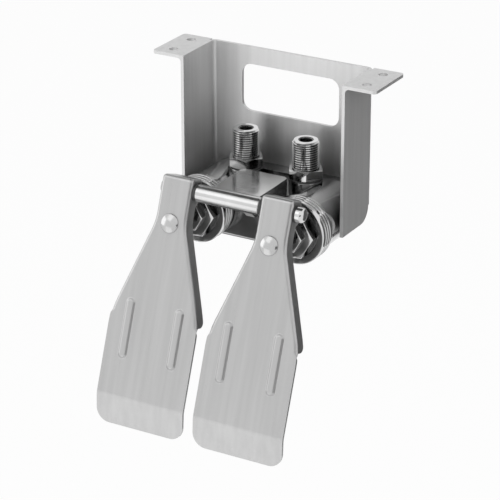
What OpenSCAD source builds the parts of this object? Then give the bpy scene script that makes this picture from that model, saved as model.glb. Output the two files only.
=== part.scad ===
// Double pedal tap valve, self-closing, hung from a folded bracket.
// Millimetres. X right, Y back towards the wall, Z up.
// The origin is the centre of the bracket's top mounting face.

/* [Bracket] */
// Width over the outside of the two cheeks
bracket_width = 140; // [130:1:180]
// Depth from the cheeks' front edges to the back of the web
bracket_depth = 47; // [42:1:70]
// Height from the top mounting face to the lower edge
bracket_height = 120; // [112:1:150]
// Thickness of the bracket's sheet
bracket_sheet = 2.5; // [1.5:0.1:4]
// Width of each outward mounting flange
flange_width = 25; // [20:1:40]
// Radius of the mounting holes
mount_hole_r = 3.5; // [2.5:0.1:5]
// Distance between the mounting holes, front to back
mount_hole_span = 26; // [16:1:30]
// Radius of the cheeks' lower back corners
cheek_corner_r = 12; // [4:1:20]
// Inside radius of the bracket's folds
fold_r = 3; // [1:0.5:5]
// Width of the hose window in the web
window_width = 84; // [40:1:100]
// Height of the hose window in the web
window_height = 38; // [20:1:45]
// Distance of the hose window below the top face
window_drop = 14; // [8:1:24]
// Corner radius of the hose window
window_r = 8; // [3:0.5:15]

/* [Hinge] */
// Distance of the hinge axis below the mounting face
hinge_drop = 87; // [82:0.5:95]
// Radius of the hinge pin
pin_r = 4; // [3:0.1:5]
// Radius of the barrel cast on the body
barrel_r = 6.8; // [5.5:0.1:8]
// Thickness of the washers on the hinge pin
hinge_washer_t = 2; // [1:0.1:3]
// Thickness of the washer under the cap nut
outer_washer_t = 1; // [0.6:0.1:2.5]
// Radius of the washers on the hinge pin
hinge_washer_r = 6.5; // [5.8:0.1:9]
// Length of the cap nut on the pin's right end
cap_nut_length = 6.5; // [5:0.1:10]
// Width across the round cap nut
cap_nut_flats = 12; // [10.5:0.1:16]
// Radius of the low head on the hinge pin's left end
pin_head_r = 5.4; // [4.6:0.1:6.5]
// Thickness of the low head on the hinge pin's left end
pin_head_t = 1.5; // [1:0.1:3]
// Width of the cast web that carries the barrel
web_width = 40; // [30:1:44]
// Thickness of the cast web
web_thickness = 8; // [6:0.5:10]
// Thickness of the gusset under the cast web
gusset_thickness = 8; // [5:0.5:14]

/* [Pedals] */
// Distance between the two pedals' and the two units' centres
unit_spacing = 85; // [80:0.5:100]
// Lean of the pedals, with their lower ends forward
pedal_tilt = 20; // [14:0.5:26]
// Angle that a pedal turns when fully pressed
press_angle = 12; // [6:0.5:14]
// Thickness of the pedals' sheet
pedal_sheet = 2; // [1.5:0.1:2.5]
// Distance of a pedal's front face ahead of the pin's axis
face_offset = 8.3; // [8:0.1:10]
// Width of a pedal's neck
neck_width = 26.5; // [24:0.5:32]
// Height of a pedal's top above the pin's axis
neck_top = 10; // [9.5:0.1:13]
// Length of the tab folded back over the pin
top_tab = 15; // [12:0.5:17]
// Distance from the pin's axis down to the start of the flare
flare_start = 26; // [24:0.5:40]
// Distance from the pin's axis down to the widest point
hip_drop = 98.5; // [80:0.5:120]
// Width of the paddle
paddle_width = 76; // [60:0.5:80]
// Distance from the pin's axis down to the lip's bend
lip_drop = 163.5; // [150:0.5:190]
// Length of the lip
lip_length = 22.7; // [18:0.1:30]
// Angle that the lip bends back
lip_angle = 17; // [5:0.5:30]
// Radius of the lip's lower corners
lip_corner_r = 11; // [4:0.5:16]
// Depth of the folded side flanges
flange_depth = 11; // [9:0.5:13]
// Radius of the flanges' lower end corners
flange_end_r = 7; // [2:0.5:8]
// Outside radius of the pedals' folds
bend_r = 3; // [2.2:0.1:4]
// Radius of the flanges' ears round the pin
ear_r = 9.5; // [8.5:0.1:11]
// Outer radius of the bushes that the pedals turn on
bush_r = 6; // [5.2:0.1:7]
// Distance from the pin's axis down to the ribs' upper ends
rib_drop = 91; // [80:0.5:110]
// Length of the ribs between their end centres
rib_length = 39; // [20:0.5:50]
// Distance between the two ribs
rib_spacing = 42.8; // [30:0.2:50]
// Width of a rib
rib_width = 8; // [6:0.1:10]
// Height of a rib over the face
rib_height = 1.3; // [0.8:0.1:2]

/* [Push screws] */
// Distance from the pin's axis down to the push screw
screw_drop = 26; // [24:0.5:32]
// Radius of the push screw's shank and round tip
screw_r = 4; // [3:0.1:4.5]
// Distance of the tip's end behind the pin's axis
tip_reach = 4.7; // [4:0.1:7]
// Radius of the push screw's head
screw_head_r = 7.3; // [6:0.1:9]
// Height of the push screw's head
screw_head_h = 2.4; // [1.8:0.1:3.5]
// Height of the straight rim under the head's dome
screw_head_rim = 0.6; // [0.3:0.1:1.2]
// Width over the flats of the lock nut
lock_nut_flats = 13; // [11:0.1:16]
// Thickness of the lock nut
lock_nut_t = 5; // [3:0.1:5.5]

/* [Valve units] */
// Outer radius of a valve chamber
chamber_r = 23; // [22.6:0.1:24]
// Radius of a chamber's threaded neck
neck_r = 22; // [21:0.1:22.4]
// Radius of the bore in front of the seat
front_bore_r = 15; // [14.5:0.1:16]
// Radius of the bore behind the seat
supply_bore_r = 14; // [12.5:0.1:14.2]
// Thickness of a chamber's closed end
end_wall = 4; // [3:0.1:6]
// Length of the space behind the seat
supply_length = 18; // [17:0.1:22]
// Length of the seat ring
seat_length = 6; // [4:0.1:8]
// Radius of the seat's opening
seat_bore_r = 7; // [5.5:0.1:8]
// Length of the bore in front of the seat
front_length = 27; // [25:0.1:32]
// Thickness of the bonnet gasket
gasket_t = 1; // [0.5:0.1:2]
// Thickness of the bonnet's flange
bonnet_flange_t = 3.4; // [2.5:0.1:5]
// Length of the bonnet's plug in the chamber
bonnet_plug = 7; // [4:0.1:9]
// Width over the flats of the bonnet's hexagon
bonnet_flats = 34; // [28:0.5:34]
// Length of the bonnet's hexagon in front of the ring nut
bonnet_hex = 7; // [5:0.1:12]
// Radius of the ring nut
ring_r = 25.5; // [24.5:0.1:27]
// Thickness of the ring nut's front lip
ring_lip_t = 2.6; // [2:0.1:4]
// Radius of the ring nut's front opening
ring_open_r = 20; // [19.8:0.1:21]
// Length of the ring nut
ring_length = 15; // [12.5:0.1:15]
// Number of grooves round the ring nut
ring_grooves = 3; // [1:1:4]
// Depth of the grooves round the ring nut
ring_groove = 0.9; // [0.4:0.1:1.2]
// Number of spanner holes in the ring nut
ring_holes = 4; // [2:1:8]
// Radius of the spanner holes
ring_hole_r = 1.6; // [1:0.1:2]
// Depth of the spanner holes
ring_hole_depth = 2; // [1:0.1:2.4]
// Radius of the stem
stem_r = 4; // [3:0.1:5]
// Radius of the stem's push head
head_r = 7.5; // [6:0.1:9]
// Length of the stem's push head
head_length = 6; // [4:0.1:8]
// Room left between the stem's head and the gland nut when pressed
head_room = 1.1; // [0.5:0.1:3]
// Radius of the packing box in the bonnet
packing_r = 8; // [7.6:0.1:9]
// Depth of the packing box
packing_depth = 7; // [6.2:0.1:9]
// Section radius of the stem's O-ring
o_ring_r = 1.7; // [1.2:0.1:1.75]
// Width over the flats of the gland nut
gland_flats = 22; // [19:0.5:28]
// Height of the gland nut's hexagon
gland_hex = 4.5; // [3:0.1:8]
// Radius of the seat washer
washer_r = 9.5; // [8.8:0.1:11]
// Thickness of the seat washer
washer_t = 3; // [2:0.1:4]
// Radius of the poppet that holds the seat washer
poppet_r = 10; // [9:0.1:11.5]
// Thickness of the poppet
poppet_t = 4; // [3:0.1:5]
// Length of the stem's spring guide behind the poppet
guide_length = 3; // [1:0.1:4]
// Radius of the return spring's wire
wire_r = 0.6; // [0.4:0.05:0.7]
// Middle radius of the return spring
spring_r = 6.6; // [6.2:0.1:9]
// Number of turns of the return spring
spring_turns = 3.5; // [3:0.5:4.5]

/* [Body] */
// Depth of the pad between the chambers and the bracket's web
pad_depth = 9; // [6:0.1:14]
// Width of the pad
pad_width = 110; // [96:1:118]
// Height of the pad
pad_height = 27; // [25:0.5:29]
// Height of the manifold's top over the stems' axis
manifold_rise = 17; // [16:0.5:20]
// Depth of the manifold's bottom under the stems' axis
manifold_drop = 22.5; // [16:0.5:22.5]
// Distance of the manifold's front face behind the ring nuts' backs
manifold_setback = 1; // [0.5:0.1:6]
// Radius of the mixing passage between the chambers
mix_r = 5; // [4:0.1:5.4]
// Height of the outlet's axis over the stems' axis
outlet_rise = 6.7; // [4:0.1:9]
// Radius of the outlet's and inlets' water way
water_r = 6; // [5.6:0.1:6.5]
// Outer radius of the half inch threaded shanks
shank_r = 10.45; // [9:0.05:10.5]
// Length of the outlet's thread past its lock nut
thread_spare = 2.5; // [1:0.1:6]
// Outer radius of the outlet's plain tail
tail_r = 7.5; // [7:0.05:8]
// Length of the outlet's plain tail
tail_length = 20; // [15:0.5:40]
// Width over the flats of the outlet's lock nut
outlet_nut_flats = 27; // [26:0.5:28]
// Thickness of the outlet's lock nut
outlet_nut_t = 7; // [4:0.5:9]
// Radius of the outlet's washer
outlet_washer_r = 14.5; // [13.5:0.1:14.5]
// Thickness of the outlet's washer
outlet_washer_t = 1.5; // [1:0.1:3]
// Distance of the inlets' axes from the units' axes, inwards
inlet_inset = 16.5; // [13:0.5:18]
// Radius of the bosses that the inlets stand on
boss_r = 13; // [12:0.1:13.5]
// Height of the bosses' tops below the mounting face
boss_drop = 88; // [85:0.5:92]
// Radius of the inlets' lower thread in the bosses
spigot_r = 9.4; // [8:0.1:10]
// Length of the inlets' lower thread in the bosses
spigot_length = 9; // [6:0.1:9.5]
// Thickness of the inlets' gaskets
inlet_gasket_t = 1; // [0.5:0.1:2]
// Width over the flats of the inlets' hexagons
inlet_hex_flats = 25; // [23:0.5:27]
// Height of the inlets' hexagons
inlet_hex_h = 8; // [5:0.5:12]
// Length of the inlets' upper thread
inlet_length = 22; // [16:0.5:30]
// Radius of the fixing bolts
bolt_r = 3; // [2.5:0.1:3.5]
// Depth of the bolts' threads in the pad
bolt_depth = 9; // [6:0.1:9.5]
// Width over the flats of the bolts' heads
bolt_flats = 10; // [8:0.1:13]
// Height of the bolts' heads
bolt_head_h = 4; // [3:0.1:6]
// Radius of the bolts' washers
bolt_washer_r = 6.2; // [5.8:0.1:8]
// Thickness of the bolts' washers
bolt_washer_t = 1.2; // [0.8:0.1:2]

/* [Clearances] */
// Radial play of the running fits
run_gap = 0.05; // [0.02:0.01:0.09]
// Radial play of the threaded and pushed-in fits
fit_gap = 0.05; // [0.02:0.01:0.15]
// Radial play of bolts and shanks in the bracket's holes
hole_gap = 0.3; // [0.15:0.05:0.6]
// Play along the axis between turning faces
side_gap = 0.12; // [0.05:0.01:0.3]
// Gap between the push screw's tip and the stem at rest
tip_gap = 0.3; // [0.2:0.05:0.5]
// Gap between the seat washer and the seat at rest
seat_gap = 0.1; // [0.05:0.05:0.3]

/* [Hidden] */
$fn = 48;
eps = 0.01;

// Stations along Y, from the bracket's web forward
unit_x = unit_spacing / 2;
web_back = bracket_depth / 2;
web_front = web_back - bracket_sheet;
chamber_back = web_front - pad_depth;
supply_back = chamber_back - end_wall;
seat_back = supply_back - supply_length;
seat_front = seat_back - seat_length;
chamber_front = seat_front - front_length;
flange_back = chamber_front - gasket_t;
flange_front = flange_back - bonnet_flange_t;
ring_front = flange_front - ring_lip_t;
ring_back = ring_front + ring_length;
hex_front = ring_front - bonnet_hex;
gland_front = hex_front - gland_hex;

// The push screw's round tip, measured from the hinge axis
tip_center = tip_reach - screw_r;
tip_y = tip_center * cos(pedal_tilt) - screw_drop * sin(pedal_tilt);
tip_z = -tip_center * sin(pedal_tilt) - screw_drop * cos(pedal_tilt);
stroke = tip_y * (cos(press_angle) - 1) - tip_z * sin(press_angle);
head_back = gland_front - head_room - stroke;
head_front = head_back - head_length;
hinge_y = head_front - tip_gap - screw_r - tip_y;
hinge_z = -hinge_drop;
stem_z = hinge_z + tip_z;

// Hinge stations along X
pedal_inner = unit_x - neck_width / 2;
pedal_outer = unit_x + neck_width / 2;
barrel_half = pedal_inner - 2 * side_gap - hinge_washer_t;
nut_inner = pedal_outer + 2 * side_gap + outer_washer_t;
pin_right = nut_inner + cap_nut_length / 2;
pin_head_x = pedal_outer + side_gap;

// Pedal folds and ribs
flare_angle = atan((paddle_width - neck_width) / 2 / (hip_drop - flare_start));
flare_length = (hip_drop - flare_start) / cos(flare_angle);
rib_r = (rib_width * rib_width / 4 + rib_height * rib_height) / (2 * rib_height);
mitre = pedal_sheet * tan(flare_angle);
face_front = -face_offset;
face_back = -face_offset + pedal_sheet;

// Valve internals
washer_front = seat_back + seat_gap;
poppet_front = washer_front + washer_t;
poppet_back = poppet_front + poppet_t;
guide_back = poppet_back + guide_length;
spring_space = supply_back - poppet_back;
spring_rise = spring_space - 2 * wire_r - 2 * side_gap;
o_ring_mid = stem_r + run_gap + o_ring_r;
nose_back = hex_front + packing_depth - 2 * o_ring_r - side_gap;

// Body stations
mix_y = (seat_front + flange_back + bonnet_plug) / 2;
outlet_z = stem_z + outlet_rise;
manifold_front = ring_back + manifold_setback;
inlet_x = unit_x - inlet_inset;
inlet_y = (seat_back + supply_back) / 2;
boss_top = -boss_drop;
inlet_base = boss_top + inlet_gasket_t;
thread_base = inlet_base + inlet_hex_h;
inlet_top = thread_base + inlet_length;
web_top = hinge_z + barrel_r / 2;
riser_back = inlet_y - inlet_hex_flats / sqrt(3) - 1;
washer_back = web_back + outlet_washer_t;
thread_back = washer_back + outlet_nut_t + thread_spare;
bolt_seat = web_back + bolt_washer_t;
mount_x = bracket_width / 2 + flange_width / 2;
fold_x = bracket_width / 2 - bracket_sheet - fold_r;
fold_y = web_front - fold_r;

// Helix of the return spring, from 0 up its axis
ring_sides = 6;
rings_per_turn = 8;
spring_rings = spring_turns * rings_per_turn;
function helix(i) = [
    spring_r * cos(360 * i / rings_per_turn),
    spring_r * sin(360 * i / rings_per_turn),
    spring_rise * i / spring_rings
];
function curl_point(i, j) = let (a = 360 * i / rings_per_turn, b = 360 * j / ring_sides) [
    (spring_r + wire_r * cos(b)) * cos(a),
    (spring_r + wire_r * cos(b)) * sin(a),
    spring_rise * i / spring_rings + wire_r * sin(b)
];
curl_points = [
    for (i = [0 : spring_rings]) for (j = [0 : ring_sides - 1]) curl_point(i, j)
];
function curl_at(i, j) = i * ring_sides + j % ring_sides;
curl_sides = [
    for (i = [0 : spring_rings - 1]) for (j = [0 : ring_sides - 1]) for (k = [0, 1])
        k == 0
            ? [curl_at(i, j), curl_at(i + 1, j), curl_at(i + 1, j + 1)]
            : [curl_at(i, j), curl_at(i + 1, j + 1), curl_at(i, j + 1)]
];
curl_ends = [
    for (j = [1 : ring_sides - 2]) for (k = [0, 1])
        k == 0
            ? [0, j, j + 1]
            : [curl_at(spring_rings, 0), curl_at(spring_rings, j + 1), curl_at(spring_rings, j)]
];
curl_gap = min([
    for (i = [0 : spring_rings - rings_per_turn]) for (k = [-1 : 1])
        let (n = i + rings_per_turn + k)
        n <= spring_rings ? norm(helix(i) - helix(n)) - 2 * wire_r : 100
]);
echo(spring_gap = curl_gap, stroke = stroke, hinge_y = hinge_y, stem_z = stem_z);

// A cylinder along Y from y0 to y1
module along_y(r, y0, y1) {
    translate([0, y1, 0])
        rotate([90, 0, 0])
            cylinder(r = r, h = y1 - y0);
}

// A cylinder along X from x0 to x1
module along_x(r, x0, x1) {
    translate([x0, 0, 0])
        rotate([0, 90, 0])
            cylinder(r = r, h = x1 - x0);
}

// A hexagon along Y from y0 to y1, by its flats
module hex_y(flats, y0, y1) {
    translate([0, y1, 0])
        rotate([90, 0, 0])
            cylinder(r = flats / sqrt(3), h = y1 - y0, $fn = 6);
}

// The strip left between a square corner and a fillet, along Z
module corner_strip(r, length) {
    linear_extrude(height = length)
        difference() {
            translate([-eps, -eps]) square(r + eps);
            translate([r, r]) circle(r = r);
        }
}

// Places a piece on a unit's axis, side -1 for left and 1 for right
module on_unit(side) {
    translate([side * unit_x, 0, stem_z]) children();
}

// Places a piece in a pedal's own frame: Y back from the pin, Z up the plate
module on_pedal(side) {
    translate([side * unit_x, hinge_y, hinge_z])
        rotate([-pedal_tilt, 0, 0])
            children();
}

// Places a piece on an inlet's axis
module on_inlet(side) {
    translate([side * inlet_x, inlet_y, 0]) children();
}

// A rectangle with round corners, centred
module round_rect(width, height, r) {
    square([width - 2 * r, height], center = true);
    square([width, height - 2 * r], center = true);
    for (x = [-1, 1]) for (y = [-1, 1])
        translate([x * (width / 2 - r), y * (height / 2 - r)]) circle(r = r);
}

// Outline of a cheek seen from the side, with its round lower back corner
module cheek_outline() {
    r = cheek_corner_r;
    translate([-web_back, -bracket_height + r])
        square([web_back + fold_y, bracket_height - r]);
    translate([-web_back, -bracket_height])
        square([web_back + fold_y - r, bracket_height]);
    translate([fold_y - r, -bracket_height + r]) circle(r = r);
}

// Outline of the web seen from the front, with its round lower corners
module web_outline() {
    r = cheek_corner_r;
    translate([-fold_x, -bracket_height + r])
        square([2 * fold_x, bracket_height - r]);
    translate([-fold_x + r, -bracket_height])
        square([2 * fold_x - 2 * r, bracket_height]);
    for (side = [-1, 1])
        translate([side * (fold_x - r), -bracket_height + r]) circle(r = r);
}

// Plan of the fold between the web and the right cheek
module fold_plan() {
    intersection() {
        difference() {
            circle(r = fold_r + bracket_sheet);
            circle(r = fold_r);
        }
        square(fold_r + bracket_sheet);
    }
}

module mounting_bracket() {
    color([0.72, 0.73, 0.74])
    difference() {
        union() {
            for (side = [-1, 1])
                translate([side * (bracket_width - bracket_sheet) / 2 - bracket_sheet / 2, 0, 0])
                    rotate([90, 0, 90])
                        linear_extrude(height = bracket_sheet) cheek_outline();
            translate([0, web_back, 0])
                rotate([90, 0, 0])
                    linear_extrude(height = bracket_sheet) web_outline();
            for (side = [0, 1])
                mirror([side, 0, 0])
                    translate([fold_x, fold_y, -bracket_height + cheek_corner_r])
                        linear_extrude(height = bracket_height - cheek_corner_r) fold_plan();
            for (side = [-1, 1])
                translate([side * mount_x - side * bracket_sheet / 2, 0, -bracket_sheet])
                    linear_extrude(height = bracket_sheet)
                        round_rect(flange_width + bracket_sheet, bracket_depth, fold_r);
        }
        for (side = [-1, 1]) for (end = [-1, 1])
            translate([side * mount_x, end * mount_hole_span / 2, -bracket_sheet - 1])
                cylinder(r = mount_hole_r, h = bracket_sheet + 2);
        translate([0, web_back + 1, -window_drop - window_height / 2])
            rotate([90, 0, 0])
                linear_extrude(height = bracket_sheet + 2)
                    round_rect(window_width, window_height, window_r);
        translate([0, 0, outlet_z])
            along_y(shank_r + hole_gap, web_front - 1, web_back + 1);
        for (side = [-1, 1])
            translate([side * unit_x, 0, outlet_z])
                along_y(bolt_r + hole_gap, web_front - 1, web_back + 1);
    }
}

module valve_body() {
    color([0.80, 0.81, 0.83])
    difference() {
        union() {
            for (side = [-1, 1]) on_unit(side) {
                along_y(chamber_r, ring_back + manifold_setback, chamber_back);
                along_y(neck_r, chamber_front, chamber_back);
            }
            translate([-unit_x, manifold_front, stem_z - manifold_drop])
                cube([unit_spacing, chamber_back - manifold_front, manifold_drop + manifold_rise]);
            translate([-pad_width / 2, chamber_back - end_wall, outlet_z - pad_height / 2])
                cube([pad_width, pad_depth + end_wall, pad_height]);
            for (side = [-1, 1]) on_inlet(side)
                translate([0, 0, stem_z])
                    cylinder(r = boss_r, h = boss_top - stem_z);
            translate([-web_width / 2, manifold_front, stem_z])
                cube([web_width, riser_back - manifold_front, web_top - stem_z]);
            translate([-web_width / 2, hinge_y, web_top - web_thickness])
                cube([web_width, manifold_front - hinge_y + 1, web_thickness]);
            translate([-gusset_thickness / 2, 0, 0])
                rotate([90, 0, 90])
                    linear_extrude(height = gusset_thickness)
                        polygon([
                            [hinge_y + barrel_r, web_top - web_thickness / 2],
                            [manifold_front + 1, web_top - web_thickness / 2],
                            [manifold_front + 1, stem_z]
                        ]);
            translate([0, hinge_y, hinge_z])
                along_x(barrel_r, -barrel_half, barrel_half);
        }
        translate([0, hinge_y, hinge_z])
            along_x(pin_r + fit_gap, -barrel_half - 1, barrel_half + 1);
        for (side = [-1, 1]) {
            on_unit(side) {
                along_y(front_bore_r, chamber_front - 1, seat_front);
                along_y(supply_bore_r, seat_front - 1, supply_back);
            }
            on_inlet(side) {
                translate([0, 0, stem_z - water_r])
                    cylinder(r = water_r, h = boss_top - stem_z + water_r + 1);
                translate([0, 0, boss_top - spigot_length - side_gap])
                    cylinder(r = spigot_r + fit_gap, h = spigot_length + side_gap + 1);
            }
            translate([side * unit_x, 0, outlet_z])
                along_y(bolt_r + fit_gap, web_front - bolt_depth - side_gap, web_front + 1);
        }
        translate([0, mix_y, outlet_z])
            along_x(mix_r, -unit_x, unit_x);
        translate([0, 0, outlet_z]) {
            along_y(water_r, mix_y, web_front + 1);
            along_y(shank_r + fit_gap, chamber_back - side_gap, web_front + 1);
        }
    }
}

module hinge_pin() {
    color([0.70, 0.71, 0.72])
    translate([0, hinge_y, hinge_z]) {
        along_x(pin_r, -pin_head_x - pin_head_t / 2, pin_right);
        along_x(pin_head_r, -pin_head_x - pin_head_t, -pin_head_x);
    }
}

module hinge_cap_nut() {
    color([0.78, 0.79, 0.80])
    translate([nut_inner, hinge_y, hinge_z])
        rotate([0, 90, 0])
            difference() {
                rotate_extrude()
                    polygon([
                        [0, 0],
                        [cap_nut_flats / 2, 0],
                        [cap_nut_flats / 2, cap_nut_length * 0.6],
                        [cap_nut_flats * 0.4, cap_nut_length * 0.9],
                        [cap_nut_flats * 0.3, cap_nut_length],
                        [0, cap_nut_length]
                    ]);
                translate([0, 0, -1])
                    cylinder(r = pin_r + fit_gap, h = pin_right - nut_inner + side_gap + 1);
            }
}

// A washer on the hinge pin, from x outwards on one side
module pin_washer(side, x, thickness) {
    translate([side * x, hinge_y, hinge_z])
        rotate([0, side * 90, 0])
            difference() {
                cylinder(r = hinge_washer_r, h = thickness);
                translate([0, 0, -1])
                    cylinder(r = pin_r + fit_gap, h = thickness + 2);
            }
}

module hinge_washers() {
    color([0.20, 0.20, 0.21])
    for (side = [-1, 1]) pin_washer(side, barrel_half + side_gap, hinge_washer_t);
    pin_washer(1, pedal_outer + side_gap, outer_washer_t);
}

module outlet_shank() {
    color([0.80, 0.81, 0.83])
    translate([0, 0, outlet_z])
        difference() {
            union() {
                along_y(shank_r, chamber_back, thread_back);
                along_y(tail_r, thread_back - 1, thread_back + tail_length);
            }
            along_y(water_r, chamber_back - 1, thread_back + tail_length + 1);
        }
}

module outlet_washer() {
    color([0.72, 0.73, 0.74])
    translate([0, 0, outlet_z])
        difference() {
            along_y(outlet_washer_r, web_back, washer_back);
            along_y(shank_r + hole_gap, web_back - 1, washer_back + 1);
        }
}

module outlet_locknut() {
    color([0.76, 0.62, 0.33])
    translate([0, 0, outlet_z])
        difference() {
            hex_y(outlet_nut_flats, washer_back, washer_back + outlet_nut_t);
            along_y(shank_r + fit_gap, washer_back - 1, washer_back + outlet_nut_t + 1);
        }
}

module body_bolts() {
    color([0.74, 0.75, 0.76])
    for (side = [-1, 1])
        translate([side * unit_x, 0, outlet_z]) {
            along_y(bolt_r, web_front - bolt_depth, bolt_seat + 1);
            hex_y(bolt_flats, bolt_seat, bolt_seat + bolt_head_h);
        }
}

module body_bolt_washers() {
    color([0.74, 0.75, 0.76])
    for (side = [-1, 1])
        translate([side * unit_x, 0, outlet_z])
            difference() {
                along_y(bolt_washer_r, web_back, bolt_seat);
                along_y(bolt_r + hole_gap, web_back - 1, bolt_seat + 1);
            }
}

// Outline of a pedal's face in its plane, X across and Y up from the pin's axis
module face_outline() {
    half_neck = neck_width / 2;
    half_paddle = paddle_width / 2;
    polygon([
        [-half_neck, neck_top], [half_neck, neck_top],
        [half_neck, -flare_start], [half_paddle, -hip_drop],
        [half_paddle, -lip_drop], [-half_paddle, -lip_drop],
        [-half_paddle, -hip_drop], [-half_neck, -flare_start]
    ]);
}

// Outline of the lip, hanging down from its bend
module lip_outline() {
    half = paddle_width / 2;
    r = lip_corner_r;
    translate([-half, -lip_length + r]) square([paddle_width, lip_length - r]);
    translate([-half + r, -lip_length]) square([paddle_width - 2 * r, lip_length]);
    for (side = [-1, 1])
        translate([side * (half - r), -lip_length + r]) circle(r = r);
}

// Side outline of a neck's flange, X back from the pin's axis and Y up
module neck_flange_outline() {
    lower = flare_start + mitre;
    intersection() {
        union() {
            translate([face_front, -lower])
                square([flange_depth, lower + neck_top]);
            circle(r = ear_r);
            translate([face_front, 0]) square([top_tab, neck_top]);
        }
        translate([face_front, -lower])
            square([flange_depth + ear_r + top_tab, lower + neck_top]);
    }
}

// Side outline of a flared flange, X back and Y up from its upper end
module flare_flange_outline() {
    r = flange_end_r;
    intersection() {
        union() {
            translate([face_front, -flare_length + r]) square([flange_depth, flare_length - r]);
            translate([face_front, -flare_length]) square([flange_depth - r, flare_length]);
            translate([face_front + flange_depth - r, -flare_length + r]) circle(r = r);
        }
        translate([face_front, -flare_length]) square([flange_depth, flare_length]);
    }
}

// A raised capsule along Z, whose cap stands out of the face
module rib_capsule(r) {
    translate([0, face_front - rib_height + rib_r, -rib_drop - rib_length]) {
        cylinder(r = r, h = rib_length);
        sphere(r = r);
        translate([0, 0, rib_length]) sphere(r = r);
    }
}

module pedal(side) {
    color([0.78, 0.78, 0.79])
    on_pedal(side)
        difference() {
            union() {
                translate([0, face_back, 0])
                    rotate([90, 0, 0])
                        linear_extrude(height = pedal_sheet) face_outline();
                for (edge = [-1, 1]) {
                    translate([edge * (neck_width - pedal_sheet) / 2 - pedal_sheet / 2, 0, 0])
                        rotate([90, 0, 90])
                            linear_extrude(height = pedal_sheet) neck_flange_outline();
                    translate([edge * neck_width / 2, 0, -flare_start])
                        rotate([0, -edge * flare_angle, 0])
                            translate([-(edge + 1) * pedal_sheet / 2, 0, 0])
                                rotate([90, 0, 90])
                                    linear_extrude(height = pedal_sheet) flare_flange_outline();
                }
                translate([-neck_width / 2, face_front, neck_top - pedal_sheet])
                    cube([neck_width, top_tab, pedal_sheet]);
                translate([0, face_front, -lip_drop])
                    rotate([lip_angle, 0, 0])
                        translate([0, pedal_sheet, 0])
                            rotate([90, 0, 0])
                                linear_extrude(height = pedal_sheet) lip_outline();
                intersection() {
                    for (rib = [-1, 1])
                        translate([rib * rib_spacing / 2, 0, 0]) rib_capsule(rib_r);
                    translate([-paddle_width / 2, face_front - rib_height - 1, -lip_drop])
                        cube([paddle_width, rib_height + 1 + pedal_sheet / 2, lip_drop]);
                }
            }
            for (rib = [-1, 1])
                translate([rib * rib_spacing / 2, 0, 0]) rib_capsule(rib_r - pedal_sheet);
            along_x(bush_r + fit_gap, -neck_width, neck_width);
            translate([0, 0, -screw_drop])
                along_y(screw_r + hole_gap, face_front - 1, face_back + 1);
            for (edge = [-1, 1]) {
                translate([edge * neck_width / 2, face_front, -flare_start])
                    mirror([(edge + 1) / 2, 0, 0])
                        corner_strip(bend_r, flare_start + neck_top + 1);
                translate([edge * neck_width / 2, face_front, -flare_start])
                    rotate([0, -edge * flare_angle, 0])
                        translate([0, 0, -flare_length])
                            mirror([(edge + 1) / 2, 0, 0])
                                corner_strip(bend_r, flare_length);
            }
            translate([-neck_width, face_front, neck_top])
                rotate([0, 90, 0])
                    corner_strip(bend_r, 2 * neck_width);
        }
}

module push_screw(side) {
    rise = screw_head_h - screw_head_rim;
    dome_r = (screw_head_r * screw_head_r + rise * rise) / (2 * rise);
    color([0.82, 0.82, 0.83])
    on_pedal(side)
        translate([0, 0, -screw_drop]) {
            along_y(screw_r, face_front - screw_head_rim, tip_center);
            translate([0, tip_center, 0]) sphere(r = screw_r);
            intersection() {
                translate([0, face_front - screw_head_h + dome_r, 0]) sphere(r = dome_r);
                along_y(screw_head_r, face_front - screw_head_h - 1, face_front);
            }
        }
}

module lock_nut(side) {
    color([0.74, 0.75, 0.76])
    on_pedal(side)
        translate([0, 0, -screw_drop])
            difference() {
                hex_y(lock_nut_flats, face_back, face_back + lock_nut_t);
                along_y(screw_r + fit_gap, face_back - 1, face_back + lock_nut_t + 1);
            }
}

module pedal_bush(side) {
    color([0.20, 0.20, 0.21])
    on_pedal(side)
        difference() {
            along_x(bush_r, -neck_width / 2, neck_width / 2);
            along_x(pin_r + run_gap, -neck_width, neck_width);
        }
}

module stem(side) {
    color([0.80, 0.81, 0.82])
    on_unit(side) {
        along_y(stem_r, head_back - 1, guide_back);
        along_y(head_r, head_front, head_back);
    }
}

module poppet(side) {
    color([0.76, 0.62, 0.33])
    on_unit(side)
        difference() {
            along_y(poppet_r, poppet_front, poppet_back);
            along_y(stem_r + fit_gap, poppet_front - 1, poppet_back + 1);
        }
}

module seat_washer(side) {
    color([0.10, 0.10, 0.10])
    on_unit(side)
        difference() {
            along_y(washer_r, washer_front, poppet_front);
            along_y(stem_r + fit_gap, washer_front - 1, poppet_front + 1);
        }
}

module bonnet(side) {
    color([0.80, 0.81, 0.83])
    on_unit(side)
        difference() {
            union() {
                along_y(neck_r - fit_gap, flange_front, flange_back);
                along_y(front_bore_r - fit_gap, flange_back - 1, flange_back + bonnet_plug);
                hex_y(bonnet_flats, hex_front, flange_front + 1);
            }
            along_y(stem_r + run_gap, hex_front - 1, flange_back + bonnet_plug + 1);
            along_y(packing_r, hex_front - 1, hex_front + packing_depth);
        }
}

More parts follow.
